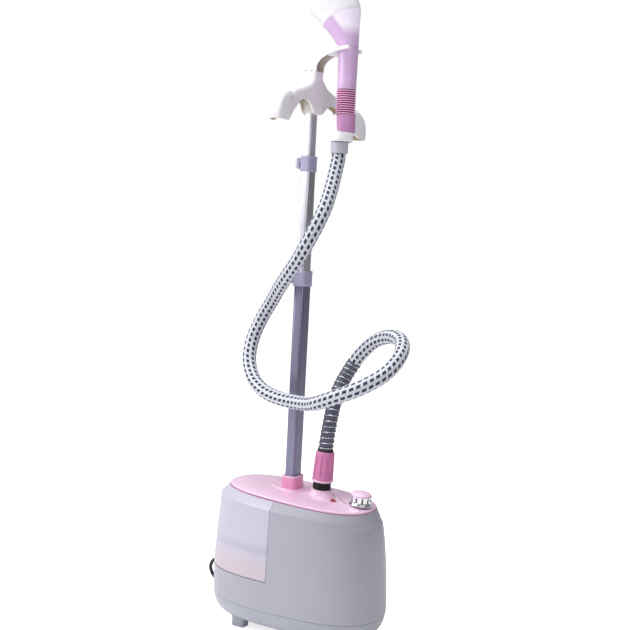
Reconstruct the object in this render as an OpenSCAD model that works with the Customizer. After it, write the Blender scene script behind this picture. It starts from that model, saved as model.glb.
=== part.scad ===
// Upright garment steamer: base with a slide-out water tank, telescopic pole,
// hanger with a holder arm, steam hose and hand-held steam head.
// Millimetres. +X is the front (control side), +Z is up. The origin is on the
// floor under the centre of the base.

/* [Base] */
// Reach of the base in front of its centre
base_front = 168; // [164:1:172]
// Reach of the base behind its centre
base_rear = 165; // [162:1:168]
// Half of the base's greatest width
base_half = 97; // [95:1:101]
// Height of the top cover's rim at the centre of the base
cover_h = 251; // [248:1:254]
// Downward tilt of the top cover towards the front, in degrees
cover_tilt = 3.4; // [2.6:0.2:4.2]
// Gap between the floor and the underside of the pan
foot_h = 18; // [17:1:20]
// Thickness of the moulded walls
wall = 2.6; // [2.2:0.2:3]

/* [Water tank] */
// Height of the tank's underside
tank_z = 106; // [104:1:110]
// X of the tank's front faces
tank_front = -11; // [-14:1:-10]
// Thickness of the tank's walls
tank_wall = 2.4; // [2:0.2:2.8]

/* [Pole] */
// X of the pole's axis
pole_x = -22; // [-24:1:-20]
// Top of the lower tube
lower_top = 640; // [620:5:660]
// Top of the middle tube
middle_top = 846; // [836:2:856]
// Height of the hanger's lower end
hanger_z = 935; // [930:1:945]

/* [Hose] */
// Outside diameter of the braided steam hose
hose_d = 25; // [23:1:26]
// X of the hose outlet on the cover
outlet_x = 38; // [36:1:40]

/* [Controls] */
// X of the indicator lens
lens_x = 73; // [70:1:76]
// How far the indicator lens is to the right of the middle
lens_y = 18; // [14:1:22]
// X of the rotary knob
knob_x = 118; // [114:1:120]

/* [Hidden] */
$fn = 64;
eps = 0.01;
big = 400;

// The base's plan is an oval between an ellipse and a rectangle.
oval_power = 2.58;
oval_sides = 56;
// Height above the floor, then how far the outline is drawn in behind, in front and at the side
body_slices = [[foot_h, 32, 30, 31], [foot_h + 3, 21, 19, 20], [foot_h + 10, 12, 10, 10],
    [42, 4, 3, 3], [60, 1, 0, 0.5], [110, 0, 2, 0], [170, 3, 8, 1], [212, 7, 15, 3]];
// The same for the slices that lie parallel to the cover, by height above its rim
top_slices = [[-18, 11, 20, 4], [-4, 23, 26, 17]];
pan_top = 53.2;
seam = 0.4;
shelf_z = tank_z - 0.6;
shelf_t = 3;
notch_back = -46;
notch_half = 32;
crown = 4.6;
seat_x = -95;
feed_z = 75;
boiler_x = 60;
pin_r = 3;

// Pole tubes: outer size along X and Y, corner radius, wall
lower_size = [20, 30, 5, 1.2];
middle_size = [17, 27, 4, 1.2];
upper_size = [14, 24, 3.5, 1.2];
sleeve_z = 186;
clamp_h = 28;
lower_clamp_size = [24, 34];
upper_clamp_size = [21, 31];
lever_y = 12;
lever_h = 19;
pivot_r = 1.5;
column_top = 1008.6;
knob_rise = 4.2;
screw_r = 1.5;
neck_x = 46.5;
handle_x = 47.2;

wheel_x = 112;
wheel_y = 46;
wheel_r = 8.5;
wheel_w = 10;

// Knots of the hose from the cuff on the base to the cuff on the handset
hose_knots = [[43, 0, 337.6], [47, 0, 373], [50, 6, 408], [50, 24, 442], [59, 41, 475],
    [79, 46, 508], [111, 39, 536], [150, 22, 548], [184, -8, 543], [201, -47, 524],
    [196, -87, 497], [168, -117, 473], [130, -128, 455], [92, -119, 440], [60, -98, 431],
    [22, -80, 428], [-18, -69, 429], [-57, -58, 437], [-90, -43, 455], [-112, -26, 485],
    [-117, -10, 523], [-105, -1, 562], [-82, -6, 595], [-57, -24, 620], [-29, -45, 644],
    [-1, -60, 671], [22, -68, 702], [38, -64, 735], [44, -49, 767], [41, -27, 798],
    [38, -9, 829], [38, -1, 852], [38.5, 0, 862.6]];
// Numbers of the knots where the three lengths of hose meet
hose_joins = [21, 26];
guard_turns = 17;

// Mains cord
cord_d = 7;
gland_pos = [-159, 55, 80];
gland_len = 20;
cord_knots = [[-179, 55, 80], [-192, 55, 80], [-206, 55, 78.6], [-219, 55.4, 74.4], [-229, 56.6,
    67], [-235, 58.6, 57], [-236, 61.5, 46], [-232.5, 65.5, 35], [-226, 71, 25], [-219, 78, 16],
    [-212, 86.5, 9], [-205, 96, 5], [-196, 105, 3.8], [-184, 111, 3.8], [-170, 113, 4.6], [-156,
    113, 5], [-144.5, 113, 5]];
hank_x = -156;
hank_len = 154;
hank_w = 49;
hank_h = 36;
hank_y = 134;
hank_z = 1.5;
tail_knots = [[-13, 113, 25], [0, 113, 22.5], [12, 113, 17.5], [25, 113, 11], [38, 113, 6],
    [50, 112, 3.8], [62, 110, 3.6], [72, 104, 3.8], [79, 94, 4.8], [81, 85, 6.5], [81, 78, 8]];
plug_pos = [81, 78, 8];

// ---- Shapes used by several pieces ----

function oval_point(t, rear, front, half) =
    [(front - rear) / 2 + (front + rear) / 2 * sign(cos(t)) * pow(abs(cos(t)), 2 / oval_power),
     half * sign(sin(t)) * pow(abs(sin(t)), 2 / oval_power)];

module oval(rear, front, half)
    polygon([for (i = [0 : oval_sides - 1]) oval_point(360 * i / oval_sides, rear, front, half)]);

// Height of the cover's rim plane at x
function rim_z(x) = cover_h - x * tan(cover_tilt);

// Places its children on the tilted cover, rise above the rim plane
module on_cover(x = 0, rise = 0)
    translate([x, 0, rim_z(x)]) rotate([0, cover_tilt, 0]) translate([0, 0, rise]) children();

// Outer form of the base, drawn in by d
module body(d = 0)
    hull() {
        for (s = body_slices)
            translate([0, 0, s[0] + (s[0] < 30 ? d : 0)]) linear_extrude(eps)
                oval(base_rear - s[1] - d, base_front - s[2] - d, base_half - s[3] - d);
        for (s = top_slices)
            on_cover(0, s[0] - d) linear_extrude(eps)
                oval(base_rear - s[1] - d, base_front - s[2] - d, base_half - s[3] - d);
    }

// A rectangle with round corners
module rrect(x, y, r) {
    square([x - 2 * r, y], center = true);
    square([x, y - 2 * r], center = true);
    for (i = [-1, 1], j = [-1, 1])
        translate([i * (x / 2 - r), j * (y / 2 - r)]) circle(r, $fn = 32);
}

module ring(r_out, r_in, h)
    difference() {
        cylinder(r = r_out, h = h);
        translate([0, 0, -1]) cylinder(r = r_in, h = h + 2);
    }

// A pole tube of size [x, y, corner, wall] from z0 to z1
module tube(size, z0, z1)
    translate([pole_x, 0, z0]) linear_extrude(z1 - z0) difference() {
        rrect(size[0], size[1], size[2]);
        rrect(size[0] - 2 * size[3], size[1] - 2 * size[3], size[2] - size[3]);
    }

// Everything in front of the tank's front faces, moved forward by d
module front_plan(d) {
    translate([tank_front + d, -big / 2]) square([big, big]);
    translate([notch_back + d, d - notch_half]) square([big / 4, 2 * (notch_half - d)]);
}

// Directions and rings of a tube swept along a list of points
function unit(v) = v / norm(v);
function heading(p, i) = unit(p[min(i + 1, len(p) - 1)] - p[max(i - 1, 0)]);
function side_of(t) = unit(abs(t[2]) > 0.9 ? cross(t, [0, 1, 0]) : cross(t, [0, 0, 1]));
// Carries a side vector along the route without twist
function carried(p, i) =
    i == 0 ? side_of(heading(p, 0))
           : let (t = heading(p, i), s = carried(p, i - 1)) unit(s - t * (s * t));

// The stretch of route p from knot a to knot b as a round tube
module swept(p, r, sides = 10, a = 0, b = -1) {
    last = b < 0 ? len(p) - 1 : b;
    rings = [for (i = [a : last]) let (t = heading(p, i), u = carried(p, i), v = cross(t, u))
        for (k = [0 : sides - 1]) p[i] + r * (cos(360 * k / sides) * u + sin(360 * k / sides) * v)];
    walls = [for (i = [0 : last - a - 1], k = [0 : sides - 1]) let (k2 = (k + 1) % sides)
        each [[i * sides + k, (i + 1) * sides + k, (i + 1) * sides + k2],
              [i * sides + k, (i + 1) * sides + k2, i * sides + k2]]];
    ends = [[for (k = [0 : sides - 1]) k],
            [for (k = [sides - 1 : -1 : 0]) (last - a) * sides + k]];
    polyhedron(rings, concat(walls, ends));
}

// ---- Base ----

module base_pan()
    color("#c9c9cf") difference() {
        intersection() {
            difference() { body(); body(wall); }
            translate([-big / 2, -big / 2, 0]) cube([big, big, pan_top]);
        }
        for (x = [-100, 100], y = [-34, 34])
            translate([x, y, 0]) cylinder(r = 2.1, h = 30);
    }

module main_shell()
    color("#e6e6ee") {
        difference() {
            intersection() {
                difference() { body(); body(wall); }
                union() {
                    translate([-big / 2, -big / 2, pan_top + seam])
                        cube([big, big, shelf_z - pan_top - seam]);
                    translate([tank_front + 0.6, -big / 2, pan_top + seam]) cube([big, big, big]);
                }
            }
            // opening under the cover
            on_cover(0, -12) linear_extrude(20) intersection() {
                oval(125, 125, 62);
                translate([tank_front, -big / 2]) square([big, big]);
            }
            // hole for the strain relief
            translate(gland_pos + [14, 0, 0]) rotate([0, -90, 0]) cylinder(r = 6, h = 40);
        }
        // shelf under the tank
        difference() {
            intersection() {
                translate([-big / 2, -big / 2, shelf_z - shelf_t])
                    cube([big / 2 + tank_front + 3, big, shelf_t]);
                body(1);
            }
            translate([seat_x, 0, 0]) cylinder(r = 26, h = 200);
        }
        // bulkhead that follows the tank's front faces
        intersection() {
            translate([0, 0, shelf_z - shelf_t]) linear_extrude(rim_z(tank_front) - shelf_z - 3)
                difference() { front_plan(0.6); front_plan(3); }
            body(1);
        }
    }

module top_cover()
    color("#eccfe4") difference() {
        union() {
            difference() {
                hull() {
                    on_cover(0, -3.8) linear_extrude(eps) oval(140.4, 140.4, 78.4);
                    on_cover(0, -1) linear_extrude(eps) oval(141, 141, 79);
                    on_cover(0, 0.6) linear_extrude(eps) oval(139.4, 139.4, 77.4);
                    on_cover(0, 3) linear_extrude(eps) oval(112, 112, 56);
                    on_cover(0, crown) linear_extrude(eps) oval(62, 62, 30);
                }
                hull() {
                    on_cover(0, -4.2) linear_extrude(eps) oval(137, 137, 75);
                    on_cover(0, -1.8) linear_extrude(eps) oval(136, 136, 74);
                    on_cover(0, crown - 2.6) linear_extrude(eps) oval(62, 62, 30);
                }
            }
            // pad round the pole socket and the boss under the hose outlet
            hull() {
                on_cover(pole_x, crown - 2.2) linear_extrude(3.4) oval(44, 26, 27);
                on_cover(pole_x, crown - 2.2) linear_extrude(4.4) oval(41, 24, 25);
            }
            on_cover(outlet_x, crown - 2.2) cylinder(r1 = 25, r2 = 18.6, h = 13.4);
        }
        translate([pole_x, 0, 0]) linear_extrude(big) rrect(31.4, 39.4, 8.7);
        on_cover(outlet_x, -10) cylinder(r = 12, h = 60);
        on_cover(lens_x, -10) translate([0, -lens_y, 0]) rotate(45) translate([-4.3, -4.3, 0]) cube([8.6, 8.6, 40]);
        on_cover(knob_x, -10) cylinder(r = 4.2, h = 40);
    }

module pole_socket()
    color("#dc6fae") {
        difference() {
            union() {
                hull() {
                    translate([pole_x, 0, 250]) linear_extrude(eps) rrect(30.6, 38.6, 8.3);
                    translate([pole_x, 0, 278.5]) linear_extrude(eps) rrect(29.6, 37.6, 8);
                    translate([pole_x, 0, 280.5]) linear_extrude(eps) rrect(28.4, 36.4, 7.4);
                }
                translate([pole_x, 0, sleeve_z]) linear_extrude(250 - sleeve_z) rrect(26, 36, 6);
            }
            translate([pole_x, 0, sleeve_z + 3]) linear_extrude(big)
                rrect(lower_size[0] + 0.2, lower_size[1] + 0.2, lower_size[2]);
        }
        // bracket that carries the sleeve on the bulkhead
        translate([pole_x - 21, -10, 194]) cube([8.5, 20, 30]);
    }

module hose_outlet()
    color("#17171a") on_cover(outlet_x, crown + 11.4) {
        difference() {
            union() {
                cylinder(r = 15, h = 13);
                for (k = [0 : 3]) translate([0, 0, 1 + 3 * k]) cylinder(r = 16.4, h = 1.7);
                translate([0, 0, -16]) cylinder(r = 11.8, h = 16.5);
            }
            translate([0, 0, -20]) cylinder(r = 7.05, h = 40);
        }
    }

module outlet_seal()
    color("#3a3a3e") on_cover(outlet_x, crown + 24.5) ring(14.4, 8, 2);

module hose_cuff()
    color("#d77fb4") on_cover(outlet_x, crown + 26.6) difference() {
        union() {
            translate([0, 0, -1.2]) cylinder(r = 19.2, h = 4);
            translate([0, 0, 2.6]) cylinder(r1 = 18.9, r2 = 17, h = 44.4);
            translate([0, 0, 47]) cylinder(r1 = 17, r2 = 15.6, h = 6);
            translate([0, 0, 53]) cylinder(r = 14.6, h = 4.6);
        }
        translate([0, 0, -5]) cylinder(r = 14.5, h = 30);
        translate([0, 0, 24]) cylinder(r = 9, h = 40);
        for (k = [0 : 9]) rotate(36 * k) translate([19.4, 0, 8]) cylinder(r = 2.4, h = 34);
    }

module boiler()
    color("#b9bcc2") difference() {
        union() {
            translate([boiler_x, 0, 46]) cylinder(r = 42, h = 50);
            for (a = [30, 150, 270])
                translate([boiler_x + 34 * cos(a), 34 * sin(a), foot_h + wall + 0.2])
                    cylinder(r = 5, h = 40);
        }
        translate([boiler_x, 0, 52]) cylinder(r = 38, h = 40);
        boiler_port() cylinder(r = 7.05, h = 40, center = true);
        translate([10, 0, feed_z]) rotate([0, 90, 0]) cylinder(r = 5.05, h = 20);
    }

// Where the steam pipe, in line with the tilted outlet, meets the boiler's top
module boiler_port() on_cover(outlet_x, 94 - rim_z(outlet_x)) children();

module heating_element()
    color("#6f6f74") translate([boiler_x, 0, 60])
        rotate_extrude(angle = 320) translate([26, 0]) circle(3.4);

module thermostat()
    color("#2b2b30") translate([84, 0, 96]) {
        cylinder(r = 11, h = 7);
        translate([-4, -14, 7]) cube([8, 28, 0.8]);
    }

module steam_pipe()
    color("#9fa3aa") on_cover(outlet_x, 0) translate([0, 0, 92 - rim_z(outlet_x)])
        ring(7, 5.4, rim_z(outlet_x) - 92 + crown);

module water_seat()
    color("#d9a9cc") translate([seat_x, 0, 0]) difference() {
        union() {
            translate([0, 0, 62]) cylinder(r = 25.6, h = shelf_z - 62 + 0.2);
            translate([0, 0, 97]) cylinder(r = 31, h = shelf_z - shelf_t - 97);
        }
        difference() {
            translate([0, 0, 65]) cylinder(r = 23, h = 60);
            // post that lifts the tank's valve pin
            translate([0, 0, 60]) cylinder(r = 2.5, h = tank_z - 0.1 - 60);
        }
        translate([0, 0, feed_z]) rotate([0, 90, 0]) cylinder(r = 5.05, h = 60);
    }

module feed_pipe()
    color("#d8d8dc") translate([seat_x + 23.5, 0, feed_z]) rotate([0, 90, 0])
        ring(5, 3.6, boiler_x - 39.5 - seat_x - 23.5);

module rotary_switch()
    color("#e9e9ec") on_cover(knob_x) {
        translate([-13, -13, -27.2]) cube([26, 26, 20]);
        translate([0, 0, -7.2]) cylinder(r = 6, h = 4.8);
        translate([0, 0, -3]) cylinder(r = 3, h = 14);
    }

module indicator_lens()
    color("#b5203a") on_cover(lens_x) translate([0, -lens_y, 0]) rotate(45) {
        translate([-4.2, -4.2, -6]) cube([8.4, 8.4, crown + 7]);
        translate([-3, -3, -16]) cube([6, 6, 10]);
    }

module rear_feet()
    color("#d5d5da") for (y = [-52, 52])
        translate([-88, y, 0]) linear_extrude(foot_h) rrect(27, 20, 5);

module wheel_brackets()
    color("#8e8e96") for (y = [-wheel_y, wheel_y], j = [-1, 1])
        translate([wheel_x, y + j * (wheel_w / 2 + 2.4), 0]) difference() {
            translate([-6, -1.8, wheel_r - 5]) cube([12, 3.6, foot_h - wheel_r + 5]);
            translate([0, 0, wheel_r]) rotate([90, 0, 0]) cylinder(r = 2, h = 20, center = true);
        }

module wheel_axles()
    color("#c6c8cc") for (y = [-wheel_y, wheel_y])
        translate([wheel_x, y, wheel_r]) rotate([90, 0, 0]) cylinder(r = 2, h = 20, center = true);

module roller(y)
    color("#1d1d20") translate([wheel_x, y, wheel_r]) rotate([90, 0, 0])
        translate([0, 0, -wheel_w / 2]) difference() {
            union() {
                translate([0, 0, 1]) cylinder(r = wheel_r, h = wheel_w - 2);
                cylinder(r = wheel_r - 1, h = wheel_w);
            }
            translate([0, 0, -1]) cylinder(r = 2.05, h = wheel_w + 2);
        }

module wheel_left() roller(wheel_y);
module wheel_right() roller(-wheel_y);

module pan_screws()
    color("#a9abb0") for (x = [-100, 100], y = [-34, 34]) translate([x, y, foot_h - 2.4]) {
        difference() {
            cylinder(r = 4, h = 2.3);
            translate([-3, -0.5, -1]) cube([6, 1, 2]);
        }
        cylinder(r = 2, h = 16);
    }

module cord_gland()
    color("#222226") translate(gland_pos) rotate([0, -90, 0]) difference() {
        union() {
            translate([0, 0, -12]) cylinder(r = 5.9, h = 14);
            translate([0, 0, 2]) cylinder(r = 8, h = 3);
            translate([0, 0, 5]) cylinder(r1 = 6.6, r2 = 4.6, h = gland_len - 5);
        }
        translate([0, 0, -20]) cylinder(r = cord_d / 2, h = 60);
    }

// ---- Mains cord ----

module mains_cord() color("#1b1b1e") swept(cord_knots, cord_d / 2, 8);

module cord_hank()
    color("#1b1b1e") translate([hank_x, hank_y, hank_z]) linear_extrude(hank_h) {
        translate([hank_w / 2, -hank_w / 2]) square([hank_len - hank_w, hank_w]);
        for (x = [hank_w / 2, hank_len - hank_w / 2]) translate([x, 0]) circle(hank_w / 2);
    }

module cord_tie()
    color("#2c2c30") translate([hank_x + hank_len / 2 - 5, hank_y, hank_z]) difference() {
        translate([0, -hank_w / 2 - 1.2, -1.2]) cube([10, hank_w + 2.4, hank_h + 2.4]);
        translate([-1, -hank_w / 2, 0]) cube([12, hank_w, hank_h]);
    }

module cord_tail() color("#1b1b1e") swept(tail_knots, cord_d / 2, 8);

module mains_plug()
    color("#202024") translate(plug_pos) rotate([90, 0, 0]) {
        cylinder(r1 = 4.6, r2 = 6.6, h = 20);
        translate([0, 0, 19]) linear_extrude(22) rrect(30, 15.6, 6);
        for (x = [-9.5, 9.5]) translate([x, 0, 41]) cylinder(r = 2.4, h = 19);
    }

// ---- Water tank ----

module water_tank()
    color("#cdc6da", 0.6) difference() {
        tank_form(0);
        difference() {
            tank_form(tank_wall);
            translate([seat_x, 0, 0]) cylinder(r = 26.4, h = tank_z + 18 + tank_wall);
        }
        difference() {
            translate([seat_x, 0, 0]) cylinder(r = 24, h = tank_z + 18);
            translate([seat_x, 0, tank_z + 5]) cylinder(r = 17.2, h = 40);
        }
        translate([seat_x, 0, 0]) cylinder(r = 14.4, h = tank_z + 30);
    }

// The tank's outer form, drawn in by d
module tank_form(d)
    intersection() {
        body(d);
        translate([-big / 2, -big / 2, tank_z + d]) cube([big / 2 + tank_front - d, big, big]);
        difference() {
            translate([-big / 2, -big / 2, 0]) cube([big, big, big]);
            translate([notch_back - d, -notch_half - d, 0]) cube([big / 4, 2 * (notch_half + d), big]);
            on_cover(0, -4.3 - d) translate([-big / 2, -big / 2, 0]) cube([big, big, big]);
        }
    }

module tank_cap()
    color("#e2b7d4") translate([seat_x, 0, tank_z + 2]) difference() {
        union() {
            cylinder(r = 20, h = 2.8);
            ring(20, 17.6, 12);
            // cage that guides the valve pin
            difference() {
                ring(10.5, 8.8, 20);
                for (a = [0, 90]) rotate(a) translate([-20, -3.5, 5]) cube([40, 7, 11]);
            }
            translate([0, 0, 18]) cylinder(r = 10.5, h = 2);
        }
        translate([0, 0, -1]) cylinder(r = pin_r + 0.05, h = 40);
    }

module valve_pin()
    color("#f0f0f2") translate([seat_x, 0, tank_z + 0.1]) {
        cylinder(r = pin_r, h = 25);
        translate([0, 0, 6]) cylinder(r = 7.6, h = 2);
    }

module valve_spring()
    color("#b8babf") translate([seat_x, 0, tank_z + 8.3]) {
        turns = 4;
        per_turn = 10;
        height = 11;
        swept([for (i = [0 : turns * per_turn])
            [6 * cos(360 * i / per_turn), 6 * sin(360 * i / per_turn),
             0.5 + (height - 1) * i / (turns * per_turn)]], 0.5, 5);
    }

// ---- Knob ----

module knob_ring()
    color("#d9dade") on_cover(knob_x, knob_rise) difference() {
        union() {
            cylinder(r1 = 21, r2 = 20, h = 8);
            translate([0, 0, 8]) cylinder(r1 = 20, r2 = 18.4, h = 10);
            translate([14, -3, 0]) cube([8.4, 6, 12]);
        }
        translate([0, 0, -1]) cylinder(r = 3.05, h = 10);
        translate([0, 0, -1]) ring(17.6, 7, 12);
    }

module knob_cap()
    color("#e3bcd6") on_cover(knob_x, knob_rise + 18) intersection() {
        cylinder(r = 18.4, h = 8);
        translate([0, 0, -30]) sphere(r = 36);
    }

// ---- Pole ----

module pole_lower() color("#b4b5c2") tube(lower_size, sleeve_z + 3, lower_top);
module pole_middle() color("#c9cad4") tube(middle_size, 463, middle_top);
module pole_upper()
    color("#b9b9c2") difference() {
        tube(upper_size, 605, hanger_z + 30);
        at_screws() cylinder(r = screw_r + 0.05, h = 30);
    }

// X of the lever's pivot, just behind a clamp of size [x, y]
function lever_x(size) = pole_x - size[0] / 2 - 3.6;

// A clamp whose lower half grips the tube outer and whose upper half guides the tube inner
module clamp_body(top, outer, inner, size)
    difference() {
        union() {
            translate([pole_x, 0, top - clamp_h / 2]) linear_extrude(clamp_h)
                rrect(size[0], size[1], 5);
            for (z = [-lever_h / 2 - 3.4, lever_h / 2 + 0.4])
                translate([lever_x(size) - 3, lever_y - 3, top + z]) cube([7, 6, 3]);
        }
        translate([pole_x, 0, top - 40]) linear_extrude(40) rrect(outer[0], outer[1], outer[2]);
        translate([pole_x, 0, top - 40]) linear_extrude(80)
            rrect(inner[0] + 0.6, inner[1] + 0.6, inner[2] + 0.3);
        clamp_pin(top, size, 60);
    }

module clamp_pin(top, size, h = lever_h + 6.8)
    translate([lever_x(size), lever_y, top]) cylinder(r = pivot_r, h = h, center = true);

// The lever lies against the clamp's rear face and has a finger tab at its free end
module clamp_lever(top, size)
    translate([lever_x(size), lever_y, top - lever_h / 2]) difference() {
        union() {
            cylinder(r = 2.9, h = lever_h);
            translate([-2.9, -26, 0]) cube([4, 26, lever_h]);
            translate([-4.6, -28, 0]) cube([4, 6, lever_h]);
        }
        translate([0, 0, -1]) cylinder(r = pivot_r + 0.05, h = lever_h + 2);
    }

module lower_clamp()
    color("#b7aecb") clamp_body(lower_top, lower_size, middle_size, lower_clamp_size);
module upper_clamp()
    color("#b7aecb") clamp_body(middle_top, middle_size, upper_size, upper_clamp_size);
module lower_clamp_pin() color("#8c8c94") clamp_pin(lower_top, lower_clamp_size);
module upper_clamp_pin() color("#8c8c94") clamp_pin(middle_top, upper_clamp_size);
module lower_clamp_lever() color("#c7c0d8") clamp_lever(lower_top, lower_clamp_size);
module upper_clamp_lever() color("#c7c0d8") clamp_lever(middle_top, upper_clamp_size);

// ---- Hanger ----

arm_sweep = 7.6;
arm_t = 22;
arm_outline = [[8, 1004], [28, 988], [55, 977], [78, 971], [97, 964], [106, 958], [118, 960],
    [134, 957], [148, 949], [157, 937], [160, 921], [157, 906], [129, 906], [120, 914],
    [104, 926], [84, 940], [72, 950], [50, 954], [32, 948], [18, 937], [8, 935]];
arm_hollow = [[16, 930], [16, 985], [30, 980], [56, 969], [80, 962], [102, 953], [134, 950],
    [146, 940], [152, 925], [152, 900], [124, 900], [112, 918], [84, 930]];

module hanger_arm()
    rotate([90, 0, 0]) difference() {
        translate([0, 0, -arm_t / 2]) linear_extrude(arm_t) polygon(arm_outline);
        translate([0, 0, -arm_t / 2 + 2.4]) linear_extrude(arm_t - 4.8) polygon(arm_hollow);
    }

module hanger_body()
    color("#eceaf0") difference() {
        union() {
            translate([pole_x, 0, hanger_z]) linear_extrude(column_top - hanger_z)
                rrect(28, 30, 6);
            for (s = [-1, 1]) translate([pole_x, 0, 0]) rotate(s * (90 - arm_sweep)) hanger_arm();
        }
        translate([pole_x, 0, hanger_z - 5]) linear_extrude(35.2)
            rrect(upper_size[0], upper_size[1], upper_size[2]);
        at_screws() {
            cylinder(r = screw_r + 0.05, h = 30);
            translate([0, 0, 13]) cylinder(r = 2.7, h = 10);
        }
    }

arm_side = [[-36, 1009], [-36, 1019], [-31, 1028], [-16, 1037], [7, 1042], [30, 1045.6], [30, 1040],
    [16, 1037], [0, 1029.5], [-8, 1018], [-8, 1009]];
arm_inside = [[-33, 1005], [-33, 1018], [-29, 1025.4], [-15, 1034], [7, 1039.4], [40, 1043],
    [40, 1030], [0, 1005]];
fork_plan = [[10, -14], [24, -20], [36, -26], [62, -26.5], [64, -24], [64, 24], [62, 26.5],
    [36, 26], [24, 20], [10, 14]];

module holder_arm()
    color("#eceaf0") difference() {
        union() {
            rotate([90, 0, 0]) translate([0, 0, -14]) linear_extrude(28) polygon(arm_side);
            translate([neck_x, 0, 1043.5]) rotate([0, -7, 0]) translate([-neck_x, 0, -3])
                linear_extrude(6) polygon(fork_plan);
        }
        rotate([90, 0, 0]) translate([0, 0, -11.6]) linear_extrude(23.2) intersection() {
            polygon(arm_inside);
            translate([-60, 1000]) square([72, 60]);
        }
        translate([neck_x, 0, 1000]) cylinder(r = 19, h = 80);
        translate([neck_x, -19, 1000]) cube([60, 38, 80]);
    }

// Places its children on the screws through the hanger's near side, drive end outward
module at_screws() for (z = [948, 958]) translate([pole_x, 0, z]) rotate([90, 0, 0]) children();

module hanger_screws()
    color("#9a9aa2") at_screws() {
        cylinder(r = screw_r, h = 14);
        translate([0, 0, 13.1]) cylinder(r = 2.6, h = 1.4);
    }

// ---- Hose ----

module hose(a, b) color("#d8dae4") swept(hose_knots, hose_d / 2, 10, a, b);
module hose_lower() hose(0, hose_joins[0]);
module hose_middle() hose(hose_joins[0], hose_joins[1]);
module hose_upper() hose(hose_joins[1], len(hose_knots) - 1);

// Steel spring round the first stretch of hose
module spring_guard() {
    per_turn = 8;
    end_knot = 4.6;
    steps = guard_turns * per_turn;
    color("#8d8f98") swept([for (i = [0 : steps]) let (
        u = end_knot * i / steps, k = floor(u), f = u - k, q = 360 * i / per_turn,
        p = hose_knots[k] * (1 - f) + hose_knots[k + 1] * f,
        a = unit(carried(hose_knots, k) * (1 - f) + carried(hose_knots, k + 1) * f),
        t = unit(heading(hose_knots, k) * (1 - f) + heading(hose_knots, k + 1) * f))
        p + (hose_d / 2 + 0.9) * (cos(q) * a + sin(q) * cross(t, a))], 1, 4);
}

// ---- Handset ----

module hose_top_cuff()
    color("#dcdbe2") translate([38.5, 0, 864]) difference() {
        union() {
            cylinder(r1 = 14, r2 = 15, h = 17);
            cylinder(r = 11, h = 25);
        }
        translate([0, 0, -1]) cylinder(r = 9, h = 40);
    }

module handset_collar()
    color("#ebe9f0") difference() {
        hull() {
            translate([41, 0, 884]) cylinder(r = 19, h = eps, $fn = 40);
            translate([42.5, 0, 887]) cylinder(r = 19.6, h = eps, $fn = 40);
            translate([46, 0, 931]) cylinder(r = 18.4, h = eps, $fn = 40);
        }
        translate([48.6, 0, 899]) cylinder(r = 17.4, h = 60);
        translate([40, 0, 883]) cylinder(r = 13.2, h = 60);
    }

module handset_sleeve()
    color("#c69ac6") translate([48.6, 0, 899.2]) ring(17.2, 13.4, 32);

module grip_bellows()
    color("#e7a9cf") translate([handle_x, 0, 931.4]) difference() {
        union() {
            cylinder(r = 15.8, h = 43);
            for (k = [0 : 10]) translate([0, 0, 0.8 + 3.9 * k]) cylinder(r = 17.9, h = 2.4);
        }
        translate([0, 0, -1]) cylinder(r = 13.4, h = 60);
    }

module handset_handle()
    color("#cfa6d4") difference() {
        hull() {
            translate([handle_x, 0, 974.6]) cylinder(r = 16.6, h = eps, $fn = 40);
            translate([handle_x, 0, 1010]) cylinder(r = 17, h = eps, $fn = 40);
            translate([neck_x, 0, 1049.6]) cylinder(r = 17.8, h = eps, $fn = 40);
        }
        translate([handle_x, 0, 970]) cylinder(r = 14, h = 100);
    }

// Places its children on the tilted face of the steam head, rise along its axis
module on_face(rise) translate([27, 0, 1108]) rotate([0, -30, 0]) translate([0, 0, rise]) children();

module face_oval(x, y) linear_extrude(eps)
    polygon([for (i = [0 : 39]) [x * cos(9 * i), y * sin(9 * i)]]);

module steam_head()
    color("#d8b6df") difference() {
        hull() {
            translate([neck_x, 0, 1049.8]) cylinder(r = 17.8, h = eps, $fn = 40);
            on_face(-8) face_oval(37, 32);
            on_face(1) face_oval(37.6, 33);
        }
        hull() {
            translate([neck_x, 0, 1049]) cylinder(r = 14.4, h = eps, $fn = 40);
            on_face(-8) face_oval(34, 29);
            on_face(2) face_oval(34.6, 30);
        }
    }

module nozzle_ring()
    color("#f0eff4") difference() {
        hull() {
            on_face(1.4) face_oval(38, 33.4);
            on_face(20) face_oval(43, 37);
            on_face(32) face_oval(46, 39);
        }
        hull() {
            on_face(18) face_oval(39, 33);
            on_face(33) face_oval(42.6, 35.8);
        }
        on_face(0) cylinder(r = 24, h = 30);
    }

module steam_plate()
    color("#cfd0d6") on_face(18.3) difference() {
        linear_extrude(3) polygon([for (i = [0 : 39]) [38.4 * cos(9 * i), 32.4 * sin(9 * i)]]);
        for (k = [0 : 11]) rotate(30 * k) translate([18, 0, -1]) cylinder(r = 1.6, h = 6);
        for (k = [0 : 4]) rotate(72 * k) translate([8, 0, -1]) cylinder(r = 1.6, h = 6);
    }

module steam_tube()
    color("#cfd2d8") translate([42, 0, 886]) ring(5, 3.8, 170);

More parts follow.
